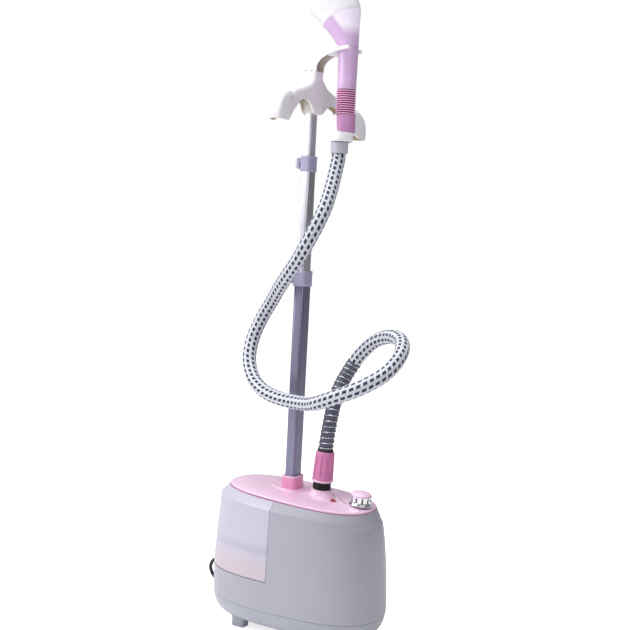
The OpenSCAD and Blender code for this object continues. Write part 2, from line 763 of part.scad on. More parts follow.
base_pan();
main_shell();
top_cover();
pole_socket();
hose_outlet();
outlet_seal();
boiler();
heating_element();
thermostat();
steam_pipe();
water_seat();
feed_pipe();
rotary_switch();
indicator_lens();
rear_feet();
wheel_brackets();
wheel_axles();
pan_screws();
cord_gland();
pole_lower();
lower_clamp();
lower_clamp_pin();
hose_cuff();
spring_guard();
hose_lower();
mains_cord();
cord_hank();
cord_tie();
cord_tail();
mains_plug();
water_tank();
tank_cap();
valve_pin();
valve_spring();
knob_ring();
knob_cap();
wheel_left();
wheel_right();
lower_clamp_lever();
pole_middle();
upper_clamp();
upper_clamp_pin();
hose_middle();
upper_clamp_lever();
pole_upper();
hanger_body();
holder_arm();
hanger_screws();
hose_upper();
hose_top_cuff();
handset_collar();
handset_sleeve();
grip_bellows();
handset_handle();
steam_tube();
steam_head();
nozzle_ring();
steam_plate();
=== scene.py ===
"""Looks of the upright garment steamer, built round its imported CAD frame.

Lengths are millimetres in the frame's axes (+X front, +Z up) until a piece is made.
"""

import math

import bmesh
import bpy
import numpy as np
from mathutils import Matrix, Vector
from mathutils.geometry import tessellate_polygon


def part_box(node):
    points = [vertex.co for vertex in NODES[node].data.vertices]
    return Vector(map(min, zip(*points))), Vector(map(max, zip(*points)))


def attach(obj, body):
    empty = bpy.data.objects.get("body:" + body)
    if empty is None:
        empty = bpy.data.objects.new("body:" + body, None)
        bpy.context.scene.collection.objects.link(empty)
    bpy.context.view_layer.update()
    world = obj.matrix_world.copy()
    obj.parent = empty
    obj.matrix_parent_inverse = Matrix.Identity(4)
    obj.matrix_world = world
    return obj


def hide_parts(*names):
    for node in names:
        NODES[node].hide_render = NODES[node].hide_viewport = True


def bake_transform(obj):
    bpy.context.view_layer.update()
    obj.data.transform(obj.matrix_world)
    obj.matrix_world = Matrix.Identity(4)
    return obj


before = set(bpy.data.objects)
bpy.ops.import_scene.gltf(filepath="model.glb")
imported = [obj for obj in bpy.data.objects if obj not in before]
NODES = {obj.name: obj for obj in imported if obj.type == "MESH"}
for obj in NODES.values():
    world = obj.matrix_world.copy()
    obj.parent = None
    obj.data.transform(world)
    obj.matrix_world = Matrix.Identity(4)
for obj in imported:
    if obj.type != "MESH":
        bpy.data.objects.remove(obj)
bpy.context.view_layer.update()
MM = 0.001

# ---- Camera ----

CAMERA_PLACE = (0.9178, -1.6086, 0.689)
CAMERA_AZIMUTH = math.radians(29.6)
CAMERA_YAW = math.radians(0.08)
CAMERA_PITCH = math.radians(-3.5)
CAMERA_ROLL = math.radians(2.95)
CAMERA_LENS = 58.86


def add_camera():
    ahead = Vector((-math.sin(CAMERA_AZIMUTH), math.cos(CAMERA_AZIMUTH), 0))
    side = Vector((math.cos(CAMERA_AZIMUTH), math.sin(CAMERA_AZIMUTH), 0))
    up = Vector((0, 0, 1))
    level = ahead * math.cos(CAMERA_YAW) + side * math.sin(CAMERA_YAW)
    side = side * math.cos(CAMERA_YAW) - ahead * math.sin(CAMERA_YAW)
    looking = level * math.cos(CAMERA_PITCH) + up * math.sin(CAMERA_PITCH)
    above = up * math.cos(CAMERA_PITCH) - level * math.sin(CAMERA_PITCH)
    right = side * math.cos(CAMERA_ROLL) + above * math.sin(CAMERA_ROLL)
    above = above * math.cos(CAMERA_ROLL) - side * math.sin(CAMERA_ROLL)
    data = bpy.data.cameras.new("camera")
    data.lens = CAMERA_LENS
    data.sensor_width = 36
    data.clip_end = 60
    camera = bpy.data.objects.new("camera", data)
    bpy.context.scene.collection.objects.link(camera)
    turn = Matrix((right, above, -looking)).transposed().to_4x4()
    camera.matrix_world = Matrix.Translation(CAMERA_PLACE) @ turn
    bpy.context.scene.camera = camera


add_camera()

# ---- Curves and meshes ----


def smooth_line(points, per):
    """A Catmull-Rom curve through the points, per steps from each to the next."""
    p = np.array(points, float)
    ends = np.concatenate([[2 * p[0] - p[1]], p, [2 * p[-1] - p[-2]]])
    out = []
    for a, b, c, d in zip(ends, ends[1:], ends[2:], ends[3:]):
        for t in np.arange(per) / per:
            out.append(0.5 * (2 * b + (c - a) * t + (2 * a - 5 * b + 4 * c - d) * t**2
                              + (3 * b - a - 3 * c + d) * t**3))
    return np.array(out + [p[-1]])


def smooth_value(stations, at):
    """Monotone smooth interpolation of rows (x, value, value, ...) at the places given."""
    table = np.array(stations, float)
    x, y = table[:, 0], table[:, 1:]
    step = np.diff(x)[:, None]
    slope = np.diff(y, axis=0) / step
    same = slope[:-1] * slope[1:] > 0
    mean = 2 * slope[:-1] * slope[1:] / np.where(same, slope[:-1] + slope[1:], 1)
    m = np.concatenate([slope[:1], np.where(same, mean, 0), slope[-1:]])
    at = np.clip(np.atleast_1d(at).astype(float), x[0], x[-1])
    i = np.clip(np.searchsorted(x, at, side="right") - 1, 0, len(x) - 2)
    t = ((at - x[i]) / step[i, 0])[:, None]
    return ((1 + 2 * t) * (1 - t)**2 * y[i] + t * (1 - t)**2 * step[i] * m[i]
            + t**2 * (3 - 2 * t) * y[i + 1] + t**2 * (t - 1) * step[i] * m[i + 1])


def add_piece(name, points, faces, body, slot, kinds, stands_for=(), crease=35, picked=None,
              weave=None):
    """Makes a piece from points in mm. picked gives each face's material, weave its corners' UVs. A
    piece without a body is attached to none."""
    mesh = bpy.data.meshes.new(name)
    mesh.from_pydata([tuple(p) for p in np.array(points, float) * MM], [], faces)
    if weave is not None:
        layer = mesh.uv_layers.new(name="weave")
        layer.data.foreach_set("uv", np.array(weave, np.float32).ravel())
    for kind in kinds.split():
        mesh.materials.append(MATERIALS[kind])
    if picked is not None:
        mesh.polygons.foreach_set("material_index", np.array(picked, np.int32))
    work = bmesh.new()
    work.from_mesh(mesh)
    bmesh.ops.remove_doubles(work, verts=work.verts, dist=2e-6)
    bmesh.ops.recalc_face_normals(work, faces=work.faces)
    work.to_mesh(mesh)
    work.free()
    mesh.polygons.foreach_set("use_smooth", [True] * len(mesh.polygons))
    mesh.set_sharp_from_angle(angle=math.radians(crease))
    ob = bpy.data.objects.new(name, mesh)
    bpy.context.scene.collection.objects.link(ob)
    if body:
        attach(ob, body)
    if stands_for:
        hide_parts(*stands_for)
    return ob


def add_bevel(ob, width, crease):
    edge = ob.modifiers.new("soft_edges", "BEVEL")
    edge.width = width * MM
    edge.segments = 2
    edge.limit_method = "ANGLE"
    edge.angle_limit = math.radians(crease)
    edge.harden_normals = True
    edge.use_clamp_overlap = True


class Shape:
    """Collects points and faces of one piece."""

    def __init__(self):
        self.points, self.faces, self.picked = [], [], []

    def loft(self, rings, caps=(True, True), closed=True, pick=0):
        """Skins rings of equal length; pick is one material or one for each gap between rings."""
        rings = [np.array(r, float) for r in rings]
        n, base = len(rings[0]), len(self.points)
        for r in rings:
            self.points.extend(r)
        for i in range(len(rings) - 1):
            for k in range(n if closed else n - 1):
                a, b = base + i * n + k, base + i * n + (k + 1) % n
                self.add((a, b, b + n, a + n), pick if np.isscalar(pick) else pick[i])
        for cap, i in zip(caps, (0, len(rings) - 1)):
            if cap:
                mine = [base + i * n + k for k in range(n)]
                self.add(mine, pick if np.isscalar(pick) else pick[min(i, len(pick) - 1)])
        return self

    def add(self, face, pick=0):
        self.faces.append(tuple(face))
        self.picked.append(pick)

    def box(self, low, high, pick=0):
        x, y, z = zip(low, high)
        ring = [(x[0], y[0]), (x[1], y[0]), (x[1], y[1]), (x[0], y[1])]
        return self.loft([[(a, b, c) for a, b in ring] for c in z], pick=pick)

    def band(self, rings, pick=0):
        """Skins rings into a closed band, the last joined to the first."""
        return self.loft(list(rings) + [rings[0]], caps=(False, False), pick=pick)

    def make(self, name, body, slot, kinds, *stands_for, **more):
        """The piece, in the place of the CAD nodes it stands for. kinds: its material keys."""
        return add_piece(name, self.points, self.faces, body, slot, kinds, stands_for,
                         picked=self.picked, **more)


def angles(n):
    """n even steps round one turn."""
    return np.arange(n) * math.tau / n


def level(x, y, z):
    """A ring from its plan, at one height or at a height for each point."""
    return np.stack([x, y, np.broadcast_to(z, len(x))], 1)


def circle(r, n=64, centre=(0, 0), z=0.0):
    a = angles(n)
    return level(centre[0] + r * np.cos(a), centre[1] + r * np.sin(a), z)


def round_rect(x, y, r, per=6, z=0.0):
    """A rectangle x by y with corners of radius r, per + 1 points a corner."""
    out = []
    for sx, sy, first in ((1, 1, 0), (-1, 1, 90), (-1, -1, 180), (1, -1, 270)):
        for k in range(per + 1):
            a = math.radians(first + 90 * k / per)
            out.append((sx * (x / 2 - r) + r * math.cos(a), sy * (y / 2 - r) + r * math.sin(a), z))
    return np.array(out)


def turned(profile, n=64):
    """Rings of a lathed shape from (radius, z) pairs."""
    return [circle(max(r, 0.01), n, z=z) for r, z in profile]


def moved(rings, matrix):
    m = np.array(matrix)
    return [np.array(r) @ m[:3, :3].T + m[:3, 3] for r in rings]


def carried_frames(line):
    """Tangent and a side vector at each point, carried along without twist."""
    t = np.gradient(line, axis=0)
    t /= np.linalg.norm(t, axis=1)[:, None]
    side = np.cross(t[0], (0, 1, 0) if abs(t[0][2]) > 0.9 else (0, 0, 1))
    sides = []
    for d in t:
        side = side - d * (side @ d)
        side = side / np.linalg.norm(side)
        sides.append(side)
    return t, np.array(sides)


def tube_rings(line, radius, n):
    t, u = carried_frames(line)
    v = np.cross(t, u)
    a = angles(n)
    r = np.broadcast_to(radius, len(line))
    return [p + r[i] * (np.cos(a)[:, None] * u[i] + np.sin(a)[:, None] * v[i])
            for i, p in enumerate(line)]


def middle_and_half(node):
    """Middle and half size of a CAD node's box, in mm."""
    low, high = (np.array(end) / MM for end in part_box(node))
    return (low + high) / 2, (high - low) / 2


def length_along(line):
    return np.concatenate([[0], np.cumsum(np.linalg.norm(np.diff(line, axis=0), axis=1))])


# ---- Materials ----


def linear(r, g, b):
    """A screen colour from 0 to 255 as the linear colour that a shader takes."""
    def one(c):
        c /= 255
        return c / 12.92 if c <= 0.04045 else ((c + 0.055) / 1.055)**2.4
    return one(r), one(g), one(b), 1.0


class Tree:
    """A node tree and short ways to add nodes to it."""

    def __init__(self, tree):
        self.tree = tree

    def link(self, value, socket):
        if isinstance(value, bpy.types.NodeSocket):
            self.tree.links.new(value, socket)
        else:
            socket.default_value = value

    def node(self, kind, settings=None, **inputs):
        n = self.tree.nodes.new(kind)
        for key, value in (settings or {}).items():
            setattr(n, key, value)
        for key, value in inputs.items():
            self.link(value, n.inputs[int(key[1:])] if key[0] == "_" else n.inputs[key])
        return n.outputs[0]

    def math(self, what, a, b=0.0, c=0.0):
        return self.node("ShaderNodeMath", settings={"operation": what}, _0=a, _1=b, _2=c)

    def ramp(self, value, low, high, to_low=0.0, to_high=1.0):
        return self.node("ShaderNodeMapRange", _0=value, _1=low, _2=high, _3=to_low, _4=to_high)

    def mix(self, share, a, b, how="MIX"):
        n = self.tree.nodes.new("ShaderNodeMix")
        n.data_type = "RGBA"
        n.blend_type = how
        self.link(share, n.inputs[0])
        self.link(a, n.inputs[6])
        self.link(b, n.inputs[7])
        return n.outputs[2]

    def shades(self, value, stops):
        """A colour ramp; the first of its (place, colour) stops is at 0 and the last at 1."""
        n = self.tree.nodes.new("ShaderNodeValToRGB")
        marks = n.color_ramp.elements
        marks[0].color, marks[-1].color = stops[0][1], stops[-1][1]
        for place, colour in stops[1:-1]:
            marks.new(place).color = colour
        self.link(value, n.inputs[0])
        return n.outputs[0]

    def xyz(self, vector):
        n = self.tree.nodes.new("ShaderNodeSeparateXYZ")
        self.link(vector, n.inputs[0])
        return n.outputs


class Nodes(Tree):
    """A material with its shader, in the object's own coordinates."""

    def __init__(self, name, colour, rough, **sockets):
        self.material = bpy.data.materials.new(name)
        self.material.use_nodes = True
        super().__init__(self.material.node_tree)
        self.shader = self.tree.nodes["Principled BSDF"]
        self.shader.inputs["Base Color"].default_value = colour
        self.shader.inputs["Roughness"].default_value = rough
        for key, value in sockets.items():
            self.shader.inputs[key.replace("_", " ")].default_value = value
        self.place = self.tree.nodes.new("ShaderNodeTexCoord").outputs["Object"]

    def noise(self, scale, detail=3.0, stretch=None):
        place = self.place
        if stretch:
            place = self.node("ShaderNodeMapping", Vector=place, Scale=stretch)
        return self.node("ShaderNodeTexNoise", Vector=place, Scale=scale, Detail=detail)

    def paint(self, colour):
        self.link(colour, self.shader.inputs["Base Color"])

    def set_rough(self, value):
        self.link(value, self.shader.inputs["Roughness"])

    def bump(self, height, strength, distance):
        n = self.tree.nodes.new("ShaderNodeBump")
        n.inputs["Strength"].default_value = strength
        n.inputs["Distance"].default_value = distance
        self.link(height, n.inputs["Height"])
        normal = self.shader.inputs["Normal"]
        if normal.links:
            self.tree.links.new(normal.links[0].from_socket, n.inputs["Normal"])
        self.tree.links.new(n.outputs[0], normal)


def scaled(colour, k):
    return tuple(min(1.0, c * k) for c in colour[:3]) + (1.0,)


def moulded(name, colour, rough, grain=0.06, coat=0.0, flow=0.03, **sockets):
    """Injection-moulded plastic: faint flow in the colour, a fine grain and uneven gloss."""
    colour = linear(*colour)
    m = Nodes(name, colour, rough, Coat_Weight=coat, **sockets)
    m.paint(m.mix(m.ramp(m.noise(9.0, 4), 0.1, 0.9), scaled(colour, 1 - flow),
                  scaled(colour, 1 + flow)))
    m.set_rough(m.ramp(m.noise(26.0, 5), 0.3, 0.7, rough * 0.86, rough * 1.16))
    m.bump(m.noise(1400.0, 2), grain, 0.00012)
    m.bump(m.noise(60.0, 2), grain * 0.5, 0.0004)
    return m


def metal(name, colour, rough, streak=(600, 600, 6), strength=0.08):
    """Metal with fine drawn or brushed lines along one axis."""
    colour = linear(*colour)
    m = Nodes(name, colour, rough, Metallic=1.0)
    lines = m.noise(1.0, 6, stretch=streak)
    m.set_rough(m.ramp(lines, 0.3, 0.7, rough * 0.8, rough * 1.25))
    m.paint(m.mix(m.ramp(m.noise(14.0, 4), 0.3, 0.7), scaled(colour, 0.96), scaled(colour, 1.04)))
    m.bump(lines, strength, 0.00006)
    return m


# ---- The materials ----


def hose_weave():
    """White braid with staggered navy flecks, over fine crossing strands. UV: turns, metres."""
    m = Nodes("hose_braid", linear(226, 229, 240), 0.62, Sheen_Weight=0.25)
    where = m.node("ShaderNodeUVMap", settings={"uv_map": "weave"})
    turns, along, _ = m.xyz(where)
    columns, pitch = 8.0, 0.0112
    across = m.math("MULTIPLY", turns, columns)
    rows = m.math("DIVIDE", along, pitch)
    odd = m.math("MULTIPLY", m.math("FLOOR", across), 0.5)
    dx = m.math("SUBTRACT", m.math("FRACT", across), 0.5)
    slant = m.math("MULTIPLY", dx, 0.35)
    dy = m.math("SUBTRACT", m.math("FRACT", m.math("ADD", m.math("ADD", rows, odd), slant)), 0.5)
    uneven = m.math("MULTIPLY", m.math("SUBTRACT", m.noise(900.0, 2), 0.5), 0.14)
    side = m.ramp(m.math("ADD", m.math("ABSOLUTE", dx), uneven), 0.24, 0.28, 1.0, 0.0)
    end = m.ramp(m.math("ADD", m.math("ABSOLUTE", dy), uneven), 0.30, 0.34, 1.0, 0.0)
    fleck = m.math("MULTIPLY", side, end)

    def strand(way):
        turn = m.math("MULTIPLY", turns, 24 * math.tau)
        climb = m.math("MULTIPLY", along, way * math.tau / 0.0034)
        return m.math("SINE", m.math("ADD", turn, climb))

    strands = m.math("MAXIMUM", strand(1), strand(-1))
    m.paint(m.mix(fleck, m.mix(m.ramp(strands, -0.6, 0.5), linear(168, 172, 190),
                               linear(228, 231, 242)), linear(22, 22, 46)))
    m.bump(strands, 0.55, 0.0004)
    m.bump(fleck, 0.3, 0.0003)
    return m.material


def tank_plastic():
    """Frosted lilac plastic, a little pinker where the seat shows through low down."""
    m = Nodes("tank_lilac", linear(226, 220, 238), 0.4, Transmission_Weight=0.3, IOR=1.4,
              Coat_Weight=0.3, Coat_Roughness=0.12)
    height = m.xyz(m.place)[2]
    low = m.ramp(height, 0.150, 0.128)
    band = m.math("MULTIPLY", m.ramp(height, 0.150, 0.157), m.ramp(height, 0.172, 0.160))
    tint = m.mix(low, linear(230, 225, 240), linear(236, 221, 231))
    tint = m.mix(m.math("MULTIPLY", band, 0.5), tint, linear(198, 198, 220))
    m.paint(m.mix(m.ramp(m.noise(7.0, 4), 0.35, 0.65, 0.0, 0.4), tint, linear(216, 213, 232)))
    m.set_rough(m.ramp(m.noise(40.0, 4), 0.3, 0.7, 0.3, 0.46))
    m.bump(m.noise(1800.0, 2), 0.1, 0.0001)
    return m.material


def head_plastic():
    """Pearly lilac with a paler window on the front of the steam head. The window's paler colour is
    partly its own and partly painted light, and the head glows faintly all over and more in the
    window: a painted glow for light coming through the plastic.
    """
    m = moulded("head_lilac", (222, 186, 230), 0.3, 0.04, 0.4)
    x, _, z = m.xyz(m.place)
    edge = m.math("ADD", x, m.math("MULTIPLY", z, 0.68))
    pale = m.math("MULTIPLY", m.ramp(edge, 0.772, 0.781), m.ramp(z, 1.066, 1.084))
    old = m.shader.inputs["Base Color"].links[0].from_socket
    m.paint(m.mix(pale, old, linear(248, 238, 253)))
    # Painted glow: emission standing in for light through the plastic, faint all over the head and
    # stronger in the paler window.
    m.shader.inputs["Emission Color"].default_value = linear(240, 226, 250)
    m.link(m.ramp(pale, 0, 1, 0.02, 0.2), m.shader.inputs["Emission Strength"])
    return m.material


def red_lens():
    return moulded("lens_red", (170, 40, 66), 0.12, 0.02, 1.0, Transmission_Weight=0.2).material


# Name, colour on screen, roughness, then where they differ from the usual: grain, coat
PLASTICS = {
    "inside": ("inner_white", (214, 212, 220), 0.42),
    "pan": ("pan_grey", (170, 172, 183), 0.32, 0.03, 0.3),
    "cover": ("cover_pink", (252, 214, 240), 0.24, 0.02, 0.3),
    # The groove's darker pink is painted shade, for the shade that falls in the cover's groove.
    "groove": ("groove_pink", (170, 92, 134), 0.4),
    "socket": ("socket_pink", (244, 160, 204), 0.34, 0.04, 0.2),
    "rim": ("rim_pink", (246, 206, 228), 0.25, 0.02),
    "cuff": ("cuff_pink", (208, 126, 174), 0.36, 0.05),
    "black": ("black_plastic", (18, 18, 20), 0.34, 0.08),
    "seal": ("seal_rubber", (40, 40, 44), 0.7, 0.2),
    "cord": ("cord_black", (16, 16, 18), 0.38, 0.12),
    "clamp": ("clamp_lilac", (176, 172, 202), 0.3, 0.05, 0.2),
    "lever": ("lever_white", (232, 230, 242), 0.3, 0.04),
    "white": ("hanger_white", (250, 248, 252), 0.3, 0.03, 0.2),
    "cuff_grey": ("hose_cuff_grey", (196, 197, 210), 0.36, 0.04),
    "neck": ("neck_inside", (226, 218, 206), 0.5, 0.08),
    "tan": ("hanger_inside", (212, 200, 172), 0.5, 0.08),
    "sleeve": ("sleeve_mauve", (200, 142, 190), 0.34, 0.05),
    "grip": ("grip_pink", (250, 190, 226), 0.42, 0.1),
    # The folds' deep magenta is painted shade, darker where the pleats fold in.
    "grip_deep": ("grip_magenta", (150, 44, 112), 0.55, 0.1),
    # Real print for the dial marks and pointer, and painted shade for the small notches at the
    # hanger's seam.
    "mark": ("print_dark", (44, 28, 52), 0.5, 0.02),
    "core": ("hose_core", (84, 86, 102), 0.42, 0.12),
    "rubber": ("roller_rubber", (22, 22, 24), 0.6, 0.25),
}
# Name, colour on screen, roughness, then where they differ from the usual: streaks, their depth
METALS = {
    "tube": ("tube_metal", (244, 244, 254), 0.3),
    # The lower pole's darker metal is painted shade, for the shade that the hose and base cast on
    # it.
    "tube_painted_shade": ("tube_shaded", (146, 144, 168), 0.36),
    "tube_high": ("tube_grey", (246, 244, 254), 0.42),
    "steel": ("steel_bright", (196, 198, 208), 0.24, (90, 90, 90)),
    "dark_steel": ("steel_dark", (120, 118, 122), 0.5, (90, 90, 90)),
    "alloy": ("cast_alu", (186, 188, 194), 0.5, (160, 160, 160), 0.4),
    "chrome": ("knob_chrome", (236, 236, 240), 0.04, (40, 40, 40), 0.02),
}
MATERIALS = {
    "shell": moulded("shell_white", (174, 174, 187), 0.32, 0.03, 0.12, flow=0.012).material,
    "lilac": moulded("handle_lilac", (218, 182, 226), 0.28, 0.04, 0.5, Sheen_Weight=0.1).material,
    "head": head_plastic(),
    "braid": hose_weave(),
    "tank": tank_plastic(),
    "lens": red_lens(),
}
MATERIALS.update({key: moulded(*look).material for key, look in PLASTICS.items()})
MATERIALS.update({key: metal(*look).material for key, look in METALS.items()})

# ---- Hose and mains cord, along the frame's own routes ----

HOSE_D = 25.0
HOSE_KNOTS = [(43, 0, 337.6), (47, 0, 373), (50, 6, 408), (50, 24, 442), (59, 41, 475),
              (79, 46, 508), (111, 39, 536), (150, 22, 548), (184, -8, 543), (201, -47, 524),
              (196, -87, 497), (168, -117, 473), (130, -128, 455), (92, -119, 440),
              (60, -98, 431), (22, -80, 428), (-18, -69, 429), (-57, -58, 437), (-90, -43, 455),
              (-112, -26, 485), (-117, -10, 523), (-105, -1, 562), (-82, -6, 595),
              (-57, -24, 620), (-29, -45, 644), (-1, -60, 671), (22, -68, 702), (38, -64, 735),
              (44, -49, 767), (41, -27, 798), (38, -9, 829), (38, -1, 852), (38.5, 0, 862.6)]
HOSE_JOINS = (21, 26)
HOSE_STEPS = 14
GUARD_TURNS = 17
GUARD_END = 4.6
CORD_D = 7.0
GLAND_ROOT = -159.0
CORD_KNOTS = [(-179, 55, 80), (-192, 55, 80), (-206, 55, 78.6), (-219, 55.4, 74.4),
              (-229, 56.6, 67), (-235, 58.6, 57), (-236, 61.5, 46), (-232.5, 65.5, 35),
              (-226, 71, 25), (-219, 78, 16), (-212, 86.5, 9), (-205, 96, 5), (-196, 105, 3.8),
              (-184, 111, 3.8), (-170, 113, 4.6), (-156, 113, 5), (-144.5, 113, 5)]
# From the top of the hank down to the plug
TAIL_KNOTS = [(-18, 113, 33.2), (2, 113, 29), (14, 113, 20.5), (25, 113, 11), (38, 113, 6),
              (50, 112, 3.8), (62, 110, 3.6), (72, 104, 3.8), (79, 94, 4.8), (81, 85, 6.5),
              (81, 78, 8)]
HANK_LOW, HANK_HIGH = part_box("cord_hank")
HANK_TURNS = 4
HANK_RISE = 7.1


def hose_stretch(name, whole, first, last, core_until):
    """One length of the hose, from first to last along the whole hose's line.
    Up to core_until along the whole hose it is bare, inside the spring guard."""
    sides = 40
    along = length_along(whole)[first:last + 1]
    rings = tube_rings(whole, HOSE_D / 2, sides)[first:last + 1]
    s = Shape()
    weave = []
    for i in range(len(rings) - 1):
        for k in range(sides):
            u = (k / sides, (k + 1) / sides)
            v = (along[i] * MM, along[i + 1] * MM)
            weave.append([(u[0], v[0]), (u[1], v[0]), (u[1], v[1]), (u[0], v[1])])
    s.loft(rings, caps=(False, False),
           pick=[int(along[i] < core_until) for i in range(len(rings) - 1)])
    ob = s.make(name, None, "hose_braid", "braid core", name.replace("steam_", ""),
                weave=np.concatenate(weave))
    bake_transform(ob)


def add_hose():
    whole = smooth_line(HOSE_KNOTS, HOSE_STEPS)
    cuts = [0] + [j * HOSE_STEPS for j in HOSE_JOINS] + [len(whole) - 1]
    guard_at = length_along(whole)[int(GUARD_END * HOSE_STEPS)]
    for i, part in enumerate(("lower", "middle", "upper")):
        hose_stretch("steam_hose_" + part, whole, cuts[i], cuts[i + 1],
                     guard_at)


def add_spring_guard():
    """The steel helix round the lower length of the hose."""
    per_turn = 20
    whole = smooth_line(HOSE_KNOTS, HOSE_STEPS)
    steps = GUARD_TURNS * per_turn
    t, u = carried_frames(whole)
    at = np.linspace(0.25, GUARD_END * HOSE_STEPS, steps + 1)
    i, f = at.astype(int), (at % 1)[:, None]

    def between(a):
        return a[i] * (1 - f) + a[i + 1] * f

    p, side, ahead = between(whole), between(u), between(t)
    turn = (np.arange(steps + 1) * 2 * math.pi / per_turn)[:, None]
    helix = p + (HOSE_D / 2 + 0.7) * (np.cos(turn) * side + np.sin(turn) * np.cross(ahead, side))
    s = Shape().loft(tube_rings(helix, 1.05, 10))
    ob = s.make("guard_spring", None, "steel_bright", "steel", "spring_guard")
    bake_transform(ob)


def hank_line():
    """The folded turns, stacked a diameter apart, from the cord's end to the tail's start."""
    x0, x1 = HANK_LOW.x / MM, HANK_HIGH.x / MM
    y0, y1 = HANK_LOW.y / MM, HANK_HIGH.y / MM
    r = (y1 - y0) / 2 - CORD_D / 2
    y = (y0 + y1) / 2
    left, right = x0 + r + CORD_D / 2, x1 - r - CORD_D / 2
    lap = []
    for k in range(9):
        lap.append((left + (right - left) * k / 9, y - r))
    for k in range(12):
        a = math.radians(-90 + 15 * k)
        lap.append((right + r * math.cos(a), y + r * math.sin(a)))
    for k in range(9):
        lap.append((right - (right - left) * k / 9, y + r))
    for k in range(12):
        a = math.radians(90 + 15 * k)
        lap.append((left + r * math.cos(a), y + r * math.sin(a)))
    points = [p for _ in range(HANK_TURNS) for p in lap] + lap[:9]
    low = HANK_LOW.z / MM + CORD_D / 2 + 0.1
    rise = HANK_TURNS * HANK_RISE / (len(points) - 1)
    return [(a, b, low + rise * i) for i, (a, b) in enumerate(points)]


def add_mains_cord():
    line = smooth_line(CORD_KNOTS[:-1] + hank_line()[1:] + TAIL_KNOTS, 4)
    s = Shape().loft(tube_rings(line, CORD_D / 2, 14))
    cord = s.make("mains_lead", "base", "cord_black", "cord",
                  "mains_cord", "cord_hank", "cord_tail")
    add_gland()
    add_tie()
    add_plug()


def along_axis(place, axis):
    """Matrix that takes +Z to the axis and the origin to the place, in mm."""
    return Matrix.Translation(place) @ Vector(axis).to_track_quat("Z", "Y").to_matrix().to_4x4()


def add_gland():
    """Tapered strain relief with ribs, 26 mm long from its root just inside the shell."""
    _, y, z = middle_and_half("cord_gland")[0]
    s = Shape()
    profile = [(3.55, -12), (5.8, -12), (5.8, 2), (8, 2), (8, 4.4), (7.4, 5)]
    ribs = 6
    for k in range(ribs):
        at = 6 + k * 3.2
        r = 6.5 - 0.3 * k
        profile += [(r, at), (r, at + 1.8), (r - 1.3, at + 2.1), (r - 1.3, at + 2.9)]
    profile += [(4.4, 25.6), (3.55, 26)]
    s.loft(moved(turned(profile, 40), along_axis((GLAND_ROOT, y, z), (-1, 0, 0))))
    return s.make("strain_relief", "base", "black_plastic", "black", "cord_gland")


def add_tie():
    """A twisted-wire tie round the middle of the hank."""
    (x, y, z), (_, *half) = middle_and_half("cord_tie")
    rings = []
    for across in (-4.6, -3.9, 3.9, 4.6):
        inset = 0.5 if abs(across) > 4 else 0
        ring = round_rect(2 * (half[0] - inset), 2 * (half[1] - inset), 6)
        rings.append([(x + across, y + a, z + b) for a, b, _ in ring])
    inner = round_rect(2 * (half[0] - 1.1), 2 * (half[1] - 1.1), 5)
    for across in (4.2, -4.2):
        rings.append([(x + across, y + a, z + b) for a, b, _ in inner])
    s = Shape().band(rings)
    return s.make("hank_tie", "base", "black_plastic", "black", "cord_tie")


def add_plug():
    """Two-pin plug with a ribbed neck and a rounded grip."""
    (x, y, z), half = middle_and_half("mains_plug")
    s = Shape()
    neck = [(4.3, 0)]
    for k in range(5):
        r = 4.8 + 0.36 * k
        neck += [(r, 0.8 + 3.6 * k), (r, 2.8 + 3.6 * k), (r - 0.8, 3.2 + 3.6 * k),
                 (r - 0.8, 4.0 + 3.6 * k)]
    turn = along_axis((x, y + half[1], z), (0, -1, 0))
    s.loft(moved(turned(neck + [(6.4, 20)], 32), turn))
    rings = []
    for z, dx, dy in ((18.6, 9, 4), (20, 3, 1.4), (23, 0.6, 0.2), (26, 0, 0), (31, 1.6, 0.8),
                      (36, 0.6, 0.2), (39.6, 0, 0), (40.6, 0.6, 0.6), (41, 1.6, 1.6)):
        rings.append(round_rect(30 - 2 * dx, 15.6 - 2 * dy, 5 - dy * 0.8, z=z))
    s.loft(moved(rings, turn))
    for x in (-9.5, 9.5):
        pin = turned([(2.4, 40), (2.4, 57), (2.1, 59), (1.4, 60)], 24)
        s.loft(moved([p + (x, 0, 0) for p in pin], turn), pick=1)
    return s.make("two_pin_plug", "base", "black_plastic",
                  "black steel", "mains_plug")


add_hose()
add_spring_guard()
add_mains_cord()

# ---- Base ----

REAR, FRONT, HALF = 165.0, 168.0, 97.0
COVER_H, TILT = 251.0, math.radians(3.4)
OVAL_POWER = 2.58
OVAL_POINTS = 200
WALL = 2.6
# Height above the floor, then how far the outline is drawn in behind, in front and at the side
LEVEL_SLICES = [(18, 32, 30, 31), (21, 21, 19, 20), (28, 12, 10, 10), (42, 4, 3, 3),
                (60, 1, 0, 0.5), (110, 0, 2, 0), (170, 3, 8, 1), (212, 7, 15, 3)]
# The same for slices parallel to the cover, by height over its rim
TILTED_SLICES = [(-21, 9.8, 19, 3.7), (-18, 11, 20, 4.2), (-15.5, 13.4, 21.2, 6.4),
                 (-4, 23, 26, 17)]
PAN_TOP, TANK_LOW = 53.2, 106.0
SHELL_LOW, SHELF_TOP = PAN_TOP + 0.4, TANK_LOW - 0.6
TANK_FRONT, NOTCH_BACK, NOTCH_HALF = -11.0, -46.0, 32.0
SEAT_X = -95.0
POLE_X = middle_and_half("pole_lower")[0][0]
OUTLET_X, KNOB_X = 38.0, 118.0
LENS_X, LENS_Y = 73.0, -18.0
KNOB_RISE = 4.2
# Half length and half width of the cover's dome
DOME_LONG, DOME_WIDE = 138.4, 76.4


